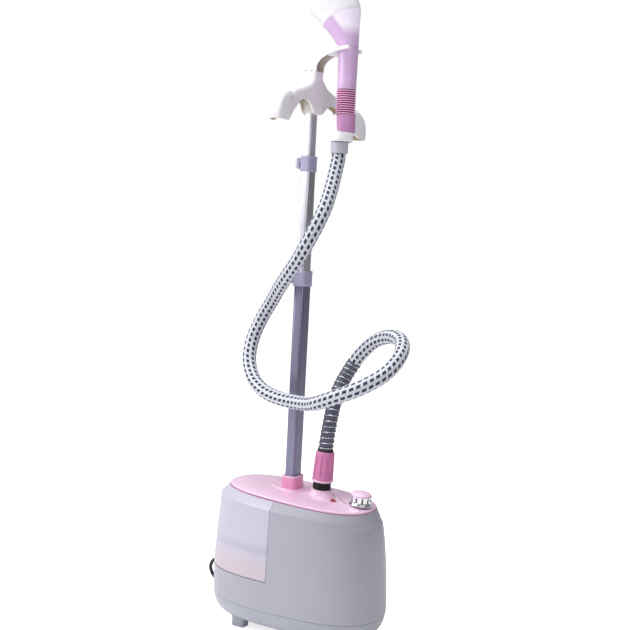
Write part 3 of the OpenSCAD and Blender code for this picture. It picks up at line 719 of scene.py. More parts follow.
def oval(rear, front, half, n=OVAL_POINTS):
    a = angles(n)
    c, s = np.cos(a), np.sin(a)
    x = (front - rear) / 2 + (front + rear) / 2 * np.sign(c) * np.abs(c)**(2 / OVAL_POWER)
    return x, half * np.sign(s) * np.abs(s)**(2 / OVAL_POWER)


def on_cover(points, x=0.0):
    """Points over the cover's rim plane, their origin at x along it, in the frame's axes."""
    p = np.array(points, float).reshape(-1, 3)
    c, s = math.cos(TILT), math.sin(TILT)
    return np.stack([x + p[:, 0] * c + p[:, 2] * s, p[:, 1],
                     COVER_H - x * math.tan(TILT) - p[:, 0] * s + p[:, 2] * c], 1)


class Body:
    """The base's outer skin as a smooth family of rings from the floor end to the cover."""

    def __init__(self):
        rings = []
        for z, rear, front, side in LEVEL_SLICES:
            x, y = oval(REAR - rear, FRONT - front, HALF - side)
            rings.append(level(x, y, z))
        for rise, rear, front, side in TILTED_SLICES:
            x, y = oval(REAR - rear, FRONT - front, HALF - side)
            rings.append(on_cover(level(x, y, rise)))
        steps = [np.linalg.norm(b - a, axis=1).mean() for a, b in zip(rings, rings[1:])]
        self.along = np.concatenate([[0], np.cumsum(steps)])
        self.stations = np.array([np.concatenate([[s], r.ravel()])
                                  for s, r in zip(self.along, rings)])
        self.top = self.along[-1]

    def ring(self, s):
        return smooth_value(self.stations, s)[0].reshape(-1, 3)

    def at_height(self, z):
        """Where along the family a level ring has this height."""
        low, high = 0.0, self.along[len(LEVEL_SLICES) - 1]
        for _ in range(40):
            middle = (low + high) / 2
            low, high = (middle, high) if self.ring(middle)[0, 2] < z else (low, middle)
        return low

    def rings(self, first, last, step=3.0):
        n = max(2, int(math.ceil((last - first) / step)) + 1)
        return [self.ring(s) for s in np.linspace(first, last, n)]


BODY = Body()


def drawn_in(ring, d):
    """The ring moved inward by d along its own plan normals."""
    ahead = np.roll(ring, -1, 0) - np.roll(ring, 1, 0)
    normal = np.stack([ahead[:, 1], -ahead[:, 0]], 1)
    normal /= np.maximum(np.linalg.norm(normal, axis=1), 1e-9)[:, None]
    out = ring.copy()
    out[:, :2] -= normal * d
    return out


def add_pan():
    low, high = 0.0, BODY.at_height(PAN_TOP)
    outer = BODY.rings(low, high, 2.0)
    lip = [drawn_in(outer[-1], 0.35)]
    outer[-1] = outer[-1] - (0, 0, 0.5)
    inner = [drawn_in(r, WALL) for r in BODY.rings(BODY.at_height(21.5), high, 4.0)][::-1]
    floor = [drawn_in(BODY.ring(BODY.at_height(18.6)), 8) + (0, 0, 2.4)]
    Shape().loft([drawn_in(outer[0], 2.0)] + outer + lip + inner + floor).make(
        "base_tray", "base", "pan_grey", "pan", "base_pan", crease=50)


def add_shell():
    """The skirt all round and the front body up to the cover, cut away for the tank."""
    rings = BODY.rings(BODY.at_height(SHELL_LOW), BODY.top, 2.2)
    n = len(rings[0])
    mesh = bpy.data.meshes.new("shell_skin")
    faces = [(i * n + k, i * n + (k + 1) % n, (i + 1) * n + (k + 1) % n, (i + 1) * n + k)
             for i in range(len(rings) - 1) for k in range(n)]
    mesh.from_pydata([tuple(p) for p in np.concatenate(rings)], [], faces)
    work = bmesh.new()
    work.from_mesh(mesh)
    cuts = (((0, 0, SHELF_TOP), (0, 0, 1)), ((TANK_FRONT + 0.6, 0, 0), (1, 0, 0)))
    for place, normal in cuts:
        everything = work.verts[:] + work.edges[:] + work.faces[:]
        bmesh.ops.bisect_plane(work, geom=everything, dist=1e-4, plane_co=place,
                               plane_no=normal)
    gone = [f for f in work.faces if f.calc_center_median().z > SHELF_TOP
            and f.calc_center_median().x < TANK_FRONT + 0.6]
    bmesh.ops.delete(work, geom=gone, context="FACES")
    bmesh.ops.scale(work, vec=(MM, MM, MM), verts=work.verts)
    work.to_mesh(mesh)
    work.free()
    mesh.polygons.foreach_set("use_smooth", [True] * len(mesh.polygons))
    mesh.materials.append(MATERIALS["shell"])
    ob = bpy.data.objects.new("front_shell", mesh)
    bpy.context.scene.collection.objects.link(ob)
    wall = ob.modifiers.new("wall", "SOLIDIFY")
    wall.thickness = WALL * MM
    wall.offset = -1
    wall.use_even_offset = True
    add_bevel(ob, 0.45, 40)
    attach(ob, "base")
    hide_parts("main_shell")
    return ob


def width_at(ring, x):
    """Half width of a ring at x."""
    half = ring[: len(ring) // 2 + 1]
    order = np.argsort(half[:, 0])
    return float(np.interp(x, half[order, 0], half[order, 1]))


def plate(shape, loops, pick=0):
    """Fills an outline with holes with triangles."""
    base = len(shape.points)
    for loop in loops:
        shape.points.extend(loop)
    flat = [[Vector(p) for p in loop] for loop in loops]
    for a, b, c in tessellate_polygon(flat):
        shape.add((base + a, base + b, base + c), pick)


def add_tank_bay():
    """Shelf under the tank and the bulkhead that follows its front faces."""
    s = Shape()
    floor_ring = drawn_in(BODY.ring(BODY.at_height(104)), WALL - 0.1)
    keep = floor_ring[floor_ring[:, 0] < TANK_FRONT + 3]
    edge = [(x, y) for x, y, _ in keep]
    hole = [(SEAT_X + 26 * math.cos(a), 26 * math.sin(a))
            for a in angles(64)]
    for z in (SHELF_TOP - 3, SHELF_TOP):
        plate(s, [[(x, y, z) for x, y in edge], [(x, y, z) for x, y in hole]])
    for loop in (edge, hole):
        s.loft([[(x, y, z) for x, y in loop] for z in (SHELF_TOP - 3, SHELF_TOP)],
               caps=(False, False))
    levels = BODY.rings(BODY.at_height(SHELF_TOP - 3), BODY.top - 7, 6)
    rings = []
    for ring in levels:
        near, far = TANK_FRONT + 0.6, TANK_FRONT + 3
        a, b = width_at(ring, near) - 2.4, width_at(ring, far) - 2.4
        z = float(ring[np.abs(ring[:, 0] - near).argmin(), 2])
        out, back = NOTCH_HALF - 0.6, NOTCH_BACK + 0.6
        inn, front = NOTCH_HALF - 3, NOTCH_BACK + 3
        rings.append([(near, a, z), (near, out, z), (back, out, z), (back, -out, z),
                      (near, -out, z), (near, -a, z), (far, -b, z), (far, -inn, z),
                      (front, -inn, z), (front, inn, z), (far, inn, z), (far, b, z)])
    s.loft(rings)
    s.make("tank_bay", "base", "shell_white", "inside", crease=30)


def corner(before, at, after, r, per=5):
    """Points that round the corner of a path in plan."""
    b, p, a = (np.array(v, float) for v in (before, at, after))
    u, v = (b - p) / np.linalg.norm(b - p), (a - p) / np.linalg.norm(a - p)
    out = []
    for k in range(per + 1):
        t = k / per
        out.append(p + u * r * (1 - t)**2 + v * r * t**2)
    return out


def tank_ring(ring, d, rear_points=150):
    """The tank's outline on a body ring, drawn in by d: the rear arc, then the notched front."""
    inner = drawn_in(ring, d)
    front = TANK_FRONT - d
    w = width_at(inner, front)
    rear = inner[inner[:, 0] < front - 0.5]
    z_front = float(ring[np.abs(ring[:, 0] - front).argmin(), 2])
    arc = np.concatenate([[(front, w, z_front)], rear, [(front, -w, z_front)]])
    along = length_along(arc)
    at = np.linspace(1.2, along[-1] - 1.2, rear_points)
    arc = np.stack([np.interp(at, along, arc[:, k]) for k in range(3)], 1)
    back, half = NOTCH_BACK - d, NOTCH_HALF + d
    path = [(front, w), (front, half), (back, half), (back, -half), (front, -half), (front, -w)]
    ends = [tuple(arc[0][:2]), tuple(arc[-1][:2])]
    radii = [1.2, 4, 7, 7, 4, 1.2]
    chain = [ends[0]] + path + [ends[1]]
    plan = []
    for i in range(len(path) - 1, -1, -1):
        plan += corner(chain[i + 2], chain[i + 1], chain[i], radii[i])
    slope = (ring[:, 2].max() - ring[:, 2].min()) / (ring[:, 0].max() - ring[:, 0].min())
    front_points = [(x, y, z_front - (x - front) * slope) for x, y in plan]
    return np.concatenate([arc, front_points])


def add_tank():
    s = Shape()
    low = BODY.at_height(TANK_LOW)
    top = BODY.top - 0.4
    outer = [tank_ring(BODY.ring(low), 2.4), tank_ring(BODY.ring(low + 0.7), 0.7)]
    outer += [tank_ring(r, 0) for r in BODY.rings(low + 2.2, top - 1.6, 2.6)]
    outer += [tank_ring(BODY.ring(top - 0.5), 0.5), tank_ring(BODY.ring(top), 1.4)]
    inner = [tank_ring(r, WALL - 0.2) for r in BODY.rings(low + 2.4, top - 2.4, 5)]
    neck = [(24, TANK_LOW), (24, TANK_LOW + 18), (17.2, TANK_LOW + 18), (17.2, TANK_LOW + 5),
            (14.4, TANK_LOW + 5), (14.4, TANK_LOW + 20.4), (26.4, TANK_LOW + 20.4),
            (26.4, TANK_LOW + 2.4)]
    rings = [circle(r, 48, (SEAT_X, 0), z) for r, z in neck]
    s.loft(outer, caps=(False, False))
    s.loft(inner, caps=(False, False))
    s.loft(rings, caps=(False, False))
    plate(s, [outer[0], rings[0]])
    plate(s, [outer[-1]])
    plate(s, [inner[0], rings[-1]])
    plate(s, [inner[-1]])
    s.make("clear_tank", "tank", "tank_lilac", "tank", "water_tank", crease=40)


def cover_rise(x, y):
    """Height of the cover's dome over its rim plane."""
    q = (np.abs(x / DOME_LONG)**OVAL_POWER
         + np.abs(y / DOME_WIDE)**OVAL_POWER)**(1 / OVAL_POWER)
    return 0.6 + 4.1 * (1 - np.minimum(q, 1)**3.2)


def cover_ring(a, half, rise):
    return on_cover(level(*oval(a, a, half), rise))


def add_cover():
    s = Shape()
    rings = [cover_ring(a, a - DOME_LONG + DOME_WIDE, z) for a, z in
             ((136.0, -3.6), (140.2, -3.8), (140.8, -3.3), (141, -1.2), (140.7, -0.4),
              (139.9, 0.2), (138.9, 0.5))]
    for q in np.linspace(1, 0.02, 60):
        x, y = oval(DOME_LONG * q, DOME_LONG * q, DOME_WIDE * q)
        rings.append(on_cover(level(x, y, cover_rise(x, y))))
    s.loft(rings)
    s.make("cover_dome", "base", "cover_pink", "cover", "top_cover", crease=45)
    # The groove takes the darker pink: painted shade in the groove.
    groove = [cover_ring(a, a - DOME_LONG + DOME_WIDE, z) for a, z in
              ((141.7, -4.1), (141.7, -2.9), (139, -2.9), (139, -4.1))]
    Shape().band(groove).make(
        "cover_groove", "base", "cover_pink", "groove")


def pad_oval(d, n=160):
    """Plan of the raised pad round the pole socket, drawn in by d: pointed behind."""
    a = angles(n)
    x = np.where(np.cos(a) < 0, (44 - d) * np.cos(a), (26 - d) * np.cos(a))
    narrow = 1 - 0.22 * np.clip(-np.cos(a), 0, 1)**2
    return POLE_X + x, (27 - d) * np.sin(a) * narrow


def add_cover_pad():
    rings = []
    for d, rise in ((-0.4, -1.5), (0, 0.0), (0.2, 1.0), (0.8, 1.6), (1.8, 1.9), (4.5, 1.7),
                    (5.6, 1.35), (9, 1.3), (14, 1.3), (20, 1.3)):
        x, y = pad_oval(d)
        rings.append(on_cover(level(x, y, cover_rise(x, y) + rise)))
    # The paler band along the pad's raised edge is a painted highlight, where that edge catches the
    # light.
    s = Shape().loft(rings, pick=[0, 0, 0, 1, 1] + [0] * 4)
    s.make("cover_pad", "base", "cover_pink", "cover rim",
           crease=60)


def add_outlet_boss():
    """Flared boss under the hose outlet, with a soft ridge to the front and a pale rim."""
    def flared(r, ridge, z, n=96):
        a = angles(n)
        reach = r + ridge * np.clip(np.cos(a + 0.5), 0, 1)**6
        return on_cover(level(reach * np.cos(a), reach * np.sin(a), z), OUTLET_X)

    rings = [flared(26.2, 2.6, 2.6), flared(24.6, 2.8, 4.8), flared(22.4, 2.6, 6.6),
             flared(20.8, 1.8, 9.2), flared(19.6, 0.8, 12.2), flared(19.0, 0.2, 14.4),
             flared(19.2, 0, 15.0), flared(18.9, 0, 15.7), flared(18.2, 0, 16.0),
             flared(12.4, 0, 16.0), flared(12.4, 0, 2.2)]
    s = Shape().band(rings, pick=[0] * 5 + [1] * 4 + [0] * 2)
    s.make("outlet_boss", "base", "cover_pink", "cover rim",
           crease=50)


def at_pole(rings):
    return [np.array(r) + (POLE_X, 0, 0) for r in rings]


def add_socket():
    """Square collar of the pole, flared on the pad, with a pale rounded rim."""
    outer = [(33.5, 41.5, 9, 253.4), (31.6, 39.6, 8.6, 255), (30.6, 38.6, 8.3, 258),
             (29.8, 37.8, 8, 276), (30.2, 38.2, 8, 278.2), (30.2, 38.2, 8, 279.6),
             (29.6, 37.6, 7.6, 280.6), (28.4, 36.4, 7, 281), (22, 32, 5.4, 281),
             (20.5, 30.5, 5, 280.4), (20.5, 30.5, 5, 262), (33.5, 41.5, 9, 253.4)]
    rings = at_pole([round_rect(x, y, r, 8, z) for x, y, r, z in outer])
    s = Shape().loft(rings, caps=(False, False), pick=[0, 0, 0, 0, 1, 1, 1, 1, 0, 0, 0])
    sleeve = [round_rect(26, 36, 6, 8, z) for z in (186, 256)]
    s.loft(at_pole(sleeve))
    s.box((POLE_X - 21, -10, 194), (POLE_X - 12, 10, 224))
    s.make("pole_collar", "base", "socket_pink", "socket rim",
           "pole_socket", crease=50)


def over_outlet(rings):
    return [on_cover(r, OUTLET_X) for r in rings]


def add_outlet():
    """Black threaded neck between the boss and the cuff."""
    profile = [(11.8, 0), (11.8, 15.2), (15, 16.2)]
    for k in range(4):
        z = 17.0 + 3.1 * k
        profile += [(15.0, z), (16.3, z + 0.5), (16.5, z + 1.2), (16.3, z + 1.7), (15.0, z + 2.2)]
    profile += [(15, 29), (14.4, 29.2), (14.4, 31), (7.05, 31), (7.05, 0)]
    rings = over_outlet(turned(profile, 96))
    Shape().band(rings).make(
        "threaded_neck", "base", "black_plastic", "black",
        "hose_outlet", "outlet_seal", crease=28)


def add_cuff():
    """Pink hose cuff with ten upright flutes, rounded at both ends, and a pale lower lip."""
    sides, flutes = 240, 10
    low = 31.2
    body = [(0, 19.0), (3.6, 18.9), (47, 17.3), (50.5, 16.9), (53.2, 15.6), (54.0, 14.6)]
    heights = np.concatenate([[-1.2, -0.8, 0.4, 2.0, 2.7, 3.1], np.linspace(3.6, 47, 70),
                              [48.4, 49.6, 50.6, 51.6, 52.4, 53, 53.4, 53.6]])
    a = angles(sides)
    rings, picks = [], []
    for h in heights:
        r = float(np.interp(h, *zip(*body)))
        if h < 3:
            r = 19.2 - (0.5 if h < -1 or h > 2.6 else 0)
        pitch = math.tau / flutes
        across = (np.mod(a + pitch / 2, pitch) - pitch / 2) * r
        beyond = max(0.0, 11 - h, h - 43)
        d = 3.0 - np.hypot(across, beyond)
        dent = 1.5 * np.clip(d / 1.2, 0, 1)**2 * (3 - 2 * np.clip(d / 1.2, 0, 1))
        ring = circle(r, sides, z=low + h)
        if 7 < h < 47:
            ring[:, :2] *= ((r - dent) / r)[:, None]
        rings.append(ring)
        picks.append(1 if h < 2.7 else 0)
    for r, h in ((14.2, 53.9), (14.2, 57.2), (13.8, 57.6), (9, 57.6), (9, 24), (14.5, 24),
                 (14.5, -1.2)):
        rings.append(circle(r, sides, z=low + h))
        picks.append(2 if 53 < h < 57.7 else 0)
    s = Shape().band(over_outlet(rings), pick=picks[:-1] + [0])
    s.make("fluted_cuff", "base", "cuff_pink",
           "cuff rim seal", "hose_cuff", crease=50)


def add_lens():
    """A cut red diamond, its facets rising to a small table."""
    rings = []
    for size, r, z in ((8.4, 0.8, -7), (8.4, 0.8, 3.2), (10.4, 0.6, 3.6), (10.4, 0.6, 4.5),
                       (9.8, 0.6, 5.0), (5.2, 0.4, 7.6), (4.8, 0.3, 7.8)):
        ring = round_rect(size, size, r, 4, z)
        turn = math.sqrt(0.5)
        ring = np.stack([(ring[:, 0] - ring[:, 1]) * turn,
                         (ring[:, 0] + ring[:, 1]) * turn + LENS_Y, ring[:, 2]], 1)
        rings.append(on_cover(ring, LENS_X))
    Shape().loft(rings).make("diamond_lens", "base", "lens_red", "lens",
                             "indicator_lens", crease=20)


def add_dial_marks():
    """A tapering stroke from low to high and three dots round the knob, printed on the cover."""
    s = Shape()

    def printed(x, y, lift):
        return on_cover([(x, y, float(cover_rise(x, y)) + lift)])[0]

    steps = 14
    rings = []
    for i in range(steps + 1):
        t = i / steps
        x, y = 70 + 25 * t, 9.5 - 19.5 * t - 2.4 * math.sin(math.pi * t)
        w = 0.35 + 0.75 * t
        sides = [(x + w * 0.6, y + w * 0.8), (x - w * 0.6, y - w * 0.8)]
        rings.append([printed(*sides[0], 0.14), printed(*sides[1], 0.14),
                      printed(*sides[1], -0.3), printed(*sides[0], -0.3)])
    s.loft(rings)
    for angle, r in ((-62, 1.5), (-84, 1.1), (-108, 0.8)):
        a = math.radians(angle)
        x, y = KNOB_X + 28 * math.cos(a), 28 * math.sin(a)
        dot = circle(r, 16, (x, y))
        s.loft([[printed(p[0], p[1], k) for p in dot] for k in (-0.3, 0.14)])
    s.make("dial_marks", "base", "cover_pink", "mark")


def add_knob():
    """Chrome skirt with finger flutes and a nose, their hollows painted black as a painted
    reflection of the dark surroundings in the chrome, and a domed pink cap with a pointer.
    """
    sides, flutes = 240, 10
    profile = [(3.1, 0), (7, 0), (7, 10), (16.4, 10), (16.4, 0), (20.4, 0), (21, 0.5),
               (21, 2.0), (20.2, 3), (19.4, 4.4), (19.0, 6.0), (18.9, 7.0), (18.9, 8.0),
               (18.9, 11), (18.9, 14), (19.0, 15.0), (19.3, 16.0), (19.5, 16.6), (19.3, 17.2),
               (18.4, 17.6), (3.1, 17.6)]
    a = angles(sides)
    wave = np.clip(0.5 - 0.5 * np.cos(flutes * a), 0, 1)**3
    rings = []
    for i, (r, z) in enumerate(profile):
        ring = circle(r, sides, z=z + KNOB_RISE)
        if 9 <= i < 16:
            depth = 1.9 * math.sin(math.pi * (i - 8.5) / 7)
            nose = 2.2 * np.exp(-(np.mod(a + math.pi, math.tau) - math.pi)**2 / 0.02)
            reach = r - depth * wave + nose * (z < 13)
            ring[:, 0], ring[:, 1] = reach * np.cos(a), reach * np.sin(a)
        rings.append(on_cover(ring, KNOB_X))
    s = Shape()
    base = len(s.points)
    for ring in rings:
        s.points.extend(ring)
    for i in range(len(rings)):
        low, high = base + i * sides, base + (i + 1) % len(rings) * sides
        for k in range(sides):
            # Black in the flute hollows is a painted reflection: the dark patches that the chrome
            # shows there.
            deep = 10 <= i < 15 and wave[k] > 0.55 and wave[(k + 1) % sides] > 0.55
            s.add((low + k, low + (k + 1) % sides, high + (k + 1) % sides, high + k), int(deep))
    s.make("knob_skirt", "knob", "knob_chrome", "chrome black",
           "knob_ring", crease=40)
    dome = [(18.5, 17.6), (18.5, 18.8), (18.1, 19.8), (17.0, 20.8), (14.8, 22.2), (11.6, 23.5),
            (8, 24.3), (4, 24.8), (0.2, 24.95)]
    rings = [on_cover(circle(r, 96, z=z + KNOB_RISE), KNOB_X) for r, z in dome]
    s = Shape().loft(rings)
    pointer = [(14.6, 0), (10.6, 2.2), (10.6, -2.2)]
    turn = math.radians(-140)
    arrow = []
    for lift in (-0.8, 0.12):
        ring = []
        for r, side in pointer:
            x = r * math.cos(turn) - side * math.sin(turn)
            y = r * math.sin(turn) + side * math.cos(turn)
            z = float(np.interp(math.hypot(r, side), [p[0] for p in dome[::-1]],
                                [p[1] for p in dome[::-1]]))
            ring.append((x, y, z + KNOB_RISE + lift))
        arrow.append(on_cover(ring, KNOB_X))
    s.loft(arrow, pick=1)
    s.make("knob_dome", "knob", "cover_pink", "cover mark",
           "knob_cap", crease=40)


add_pan()
add_shell()
add_tank_bay()
add_tank()
add_cover()
add_cover_pad()
add_outlet_boss()
add_socket()
add_outlet()
add_cuff()
add_lens()
add_dial_marks()
add_knob()

# ---- Feet and rollers ----


WHEEL_X, WHEEL_Y, WHEEL_R = 112, 46, 8.5


def add_feet():
    """Two soft blocks behind, rounded underneath, each with a shallow recess in its sole."""
    (x, _, _), (half, _, _) = middle_and_half("rear_feet")
    s = Shape()
    for y in (-52, 52):
        rings = []
        for inset, z in ((6.5, 1.0), (5.5, 0.6), (4, 0), (1.4, 0), (0.5, 0.5), (0, 1.6),
                         (0, 12), (-1.2, 19), (-2, 24)):
            ring = round_rect(2 * (half - inset), 20 - 2 * inset, max(0.6, 5 - inset), 6, z)
            rings.append(ring + (x, y, 0))
        s.loft(rings)
    s.make("back_feet", "base", "pan_grey", "pan", "rear_feet", crease=55)


def add_roller_mounts():
    """Forked brackets under the front with a flared root, and the axle pins through them."""
    s = Shape()
    for side in (-1, 1):
        for cheek in (side * WHEEL_Y - 7.2, side * WHEEL_Y + 7.2):
            rings = []
            for r, z in ((4.0, 3.6), (5.4, 5.0), (6, 8.5), (6.6, 14), (8.2, 18), (11, 22),
                         (12, 25)):
                rings.append(round_rect(2 * r, 4.0 - 0.5 * (z < 5), 1.2, 5, z)
                             + (WHEEL_X, cheek, 0))
            s.loft(rings)
        s.loft([round_rect(28, 27, 6, 6, z) + (WHEEL_X, side * WHEEL_Y, 0) for z in (20.4, 24)])
    s.make("roller_forks", "base", "pan_grey", "pan", "wheel_brackets", crease=50)
    pins = Shape()
    for side in (-1, 1):
        profile = [(0.2, -10.0), (1.2, -10.0), (1.9, -9.5), (2, -9), (2, 9), (1.9, 9.5),
                   (1.2, 10.0), (0.2, 10.0)]
        place = (WHEEL_X, side * WHEEL_Y, WHEEL_R)
        pins.loft(moved(turned(profile, 24), along_axis(place, (0, 1, 0))))
    pins.make("axle_pins", "base", "steel_bright", "steel", "wheel_axles")


def add_roller(name, node, y):
    """A roller with a crowned rubber tyre, recessed sides and a bored hub."""
    profile = [(2.06, -4.9), (3.4, -4.9), (3.6, -4.6), (3.6, -3.6), (5.6, -3.4), (6, -4.2),
               (6.6, -4.7), (7.6, -4.4), (8.3, -3.2), (8.5, 0), (8.3, 3.2), (7.6, 4.4),
               (6.6, 4.7), (6, 4.2), (5.6, 3.4), (3.6, 3.6), (3.6, 4.6), (3.4, 4.9), (2.06, 4.9)]
    rings = moved(turned(profile, 48), along_axis((WHEEL_X, y, WHEEL_R), (0, 1, 0)))
    s = Shape().band(rings)
    s.make(name, node, "roller_tyre", "rubber", node, crease=45)


# ---- Pole clamps ----

HINGE_BACK, HINGE_Y = 3.6, 12


def add_clamp(name, node, body, x, y, top, bore, inner):
    """A sleeve with soft rims and hinge ears behind."""
    s = Shape()
    rings = []
    for inset, z in ((1.2, -14), (0.3, -13.7), (0, -12.8), (0, -9.5), (0.5, -9), (0.5, 9),
                     (0, 9.5), (0, 12.6), (0.35, 13.6), (1.3, 14)):
        rings.append(round_rect(x - 2 * inset, y - 2 * inset, 5 - inset, 8, top + z))
    rings.append(round_rect(inner[0] + 0.7, inner[1] + 0.7, 3.6, 8, top + 14))
    rings.append(round_rect(inner[0] + 0.7, inner[1] + 0.7, 3.6, 8, top + 0.2))
    rings.append(round_rect(bore[0] + 0.1, bore[1] + 0.1, 4.4, 8, top))
    rings.append(round_rect(bore[0] + 0.1, bore[1] + 0.1, 4.4, 8, top - 14))
    rings = at_pole(rings)
    s.band(rings)
    ear_x = POLE_X - x / 2 - HINGE_BACK
    for z in (-12.9, 9.9):
        ring = [(ear_x + 4, 15), (ear_x + 4, 9)] + [
            (ear_x + 3 * math.cos(a), HINGE_Y + 3 * math.sin(a))
            for a in np.radians(np.linspace(270, 90, 9))]
        s.loft([[(px, py, top + z + k) for px, py in ring] for k in (0, 3)])
    s.make(name, body, "clamp_lilac", "clamp", node, crease=40)


def add_lever(name, node, body, x, top):
    """A curved finger lever round its pin, thicker at the tab and ribbed there."""
    hinge = POLE_X - x / 2 - HINGE_BACK
    outline = [(0, 2.8), (-2, 2.1), (-2.8, 0), (-2.9, -6), (-3.0, -14), (-3.4, -19),
               (-4.4, -22.5), (-4.6, -27), (-4, -28), (-1.4, -28), (-0.8, -26.5), (0.2, -24),
               (0.9, -20), (1.05, -6), (2.2, -2), (2.8, 0), (2, 2)]
    s = Shape()
    rings = []
    for inset, z in ((0.7, -9.5), (0.15, -9.2), (0, -8.6), (0, 8.6), (0.15, 9.2), (0.7, 9.5)):
        cx, cy = -1.2, -12
        rings.append([(hinge + cx + (px - cx) * (1 - inset / 4),
                       HINGE_Y + cy + (py - cy) * (1 - inset / 16), top + z)
                      for px, py in outline])
    s.loft(rings)
    for k in range(4):
        y = HINGE_Y - 22 - k * 1.7
        s.box((hinge - 5.1, y - 0.4, top - 7), (hinge - 3.9, y + 0.4, top + 7))
    s.make(name, body, "clamp_lilac", "lever", node, crease=35)


# ---- Hanger and holder ----

SEAM_Z = 1008.8
ARM_SWEEP = 7.6
HANGER_LOW = 935.0
# Distance out along an arm: its ridge height, the lower edge's height in front, and its half width
ARM_STATIONS = [(0, 990, 933, 13.2), (12, 1001, 934, 13.0), (20, 995.5, 938.5, 12.4),
                (30, 987, 947, 11.6), (40, 982, 952, 11.2), (50, 978.6, 953.6, 11),
                (60, 975.5, 953, 11), (72, 972, 949.5, 11), (84, 969, 941, 11),
                (94, 965.4, 933.6, 11), (104, 960.2, 926.4, 11.2), (110, 959.3, 921.5, 12),
                (118, 960.4, 915.4, 13), (128, 959.2, 907.4, 13.8), (137, 955.8, 906, 14),
                (146, 950.4, 906, 13.8), (153, 942.8, 906, 12.8), (158, 930, 906, 10.6),
                (160.5, 917, 906, 7.6)]


def arm_section(s, wall=0.0):
    """Half-round topped section across an arm at the distance s, drawn in by the wall."""
    top, low, half = smooth_value(ARM_STATIONS, s)[0]
    top, half = top - wall, half - wall
    crown = min(11.0, (top - low) * 0.45)
    flat = half * 0.35
    section = [(-half, low), (-half, (low + top - crown) / 2), (-half, top - crown)]
    for a in np.radians(np.linspace(170, 90, 7)):
        section.append((-flat + (half - flat) * math.cos(a), top - crown + crown * math.sin(a)))
    section += [(-x, z) for x, z in reversed(section)]
    return section


def add_arm(s, way):
    """One swept shoulder arm: a shell open below, its outer skin and its tan inside."""
    matrix = Matrix.Translation((POLE_X, 0, 0)) @ Matrix.Rotation(
        math.radians(way * (90 - ARM_SWEEP)), 4, "Z")
    distances = np.concatenate([np.linspace(0, 150, 46), np.linspace(151.5, 160.3, 9)])
    outer = [[(d, y, z) for y, z in arm_section(d)] for d in distances]
    inner = [[(min(d, 157.8), y, z) for y, z in arm_section(min(d, 157.8), 2.2)]
             for d in distances]
    outer, inner = moved(outer, matrix), moved(inner, matrix)
    s.loft(outer, caps=(False, False), closed=False)
    s.loft(inner[::-1], caps=(False, False), closed=False, pick=1)
    n, base = len(outer[0]), len(s.points)
    for rings in (outer, inner):
        for ring in rings:
            s.points.extend([ring[0], ring[-1]])
    m = len(outer)
    for i in range(m - 1):
        for side in (0, 1):
            a, b = base + 2 * i + side, base + 2 * (i + 1) + side
            s.add((a, b, b + 2 * m, a + 2 * m))
    tip = len(s.points)
    s.points.extend(outer[-1])
    s.points.extend(inner[-1])
    s.add([tip + k for k in range(n)])
    s.add([tip + n + k for k in range(n)], 1)


def add_hanger():
    """Column that spreads into two shoulder arms, with a bored foot for the upper pole."""
    s = Shape()
    bore = (14.5, 24.5)
    column = [(28, 30, 6, HANGER_LOW), (28, 30, 6, HANGER_LOW + 0.6), (28, 31, 6, 945),
              (28, 34, 7, 958), (28, 36, 8, 970), (27.6, 35, 9, 982), (27.6, 32, 8, 993),
              (28, 30.2, 6, 1001), (28, 30, 6, SEAM_Z - 0.8), (27.4, 29.4, 5.7, SEAM_Z - 0.2),
              (23, 25, 4, SEAM_Z - 0.2), (23, 25, 4, 990), (17, 27, 3.5, 966),
              (bore[0], bore[1], 3, 965.4), (bore[0], bore[1], 3, HANGER_LOW),
              (28, 30, 6, HANGER_LOW)]
    s.loft(at_pole([round_rect(x, y, r, 8, z) for x, y, r, z in column]), caps=(False, False))
    for way in (-1, 1):
        add_arm(s, way)
    # Two small dark patches each side at the seam: painted shade, for the shade in small notches
    # there.
    for side in (-1, 1):
        for x in (-29.4, -17.4):
            y = side * 15.02
            s.box((x - 1.5, min(y, y - side * 0.5), SEAM_Z - 1.0),
                  (x + 1.5, max(y, y - side * 0.5), SEAM_Z + 0.9), pick=2)
    s.make("shoulder_hanger", "upper_pole", "hanger_white",
           "white tan mark", "hanger_body", crease=50)


def add_gooseneck():
    """Channel of the holder, open to the front and below, which curves up from the column."""
    outer = smooth_line([(-36, 1009), (-36, 1019), (-31.4, 1028.4), (-16, 1037.4), (7, 1042.8),
                         (31, 1046.4)], 6)
    rim = smooth_line([(-8, 1009), (-7.6, 1019), (0.6, 1029.8), (16, 1037.4), (33, 1040.2),
                       (44, 1041)], 6)
    s = Shape()
    half, wall = 14.0, 2.4
    rings = []
    for (ox, oz), (rx, rz) in zip(outer, rim):
        o, r = np.array((ox, oz)), np.array((rx, rz))
        inward = (r - o) / np.linalg.norm(r - o)
        section = [(r, -half), (o + inward * 5, -half)]
        section += [(o + inward * 5 * (1 - math.sin(a)), -half + 5 * (1 - math.cos(a)))
                    for a in np.radians((30, 60, 90))]
        section += [(p, -y) for p, y in reversed(section)]
        inner = [(o + inward * wall, half - 5), (o + inward * 4.2, half - wall - 0.7),
                 (o + inward * 6.4, half - wall), (r, half - wall)]
        inner = [(p, y) for p, y in reversed(inner)] + [(p, -y) for p, y in inner]
        rings.append([(p[0], y, p[1]) for p, y in section + inner])
    n = len(rings[0])
    base = len(s.points)
    for ring in rings:
        s.points.extend(ring)
    for i in range(len(rings) - 1):
        for k in range(n):
            a, b = base + i * n + k, base + i * n + (k + 1) % n
            s.add((a, b, b + n, a + n), int(len(section) <= k < n - 1))
    s.add([base + k for k in range(n)])
    s.add([base + (len(rings) - 1) * n + k for k in range(n)])
    add_fork(s)
    s.make("holder_neck", "upper_pole", "hanger_white", "white neck",
           "holder_arm", crease=40)


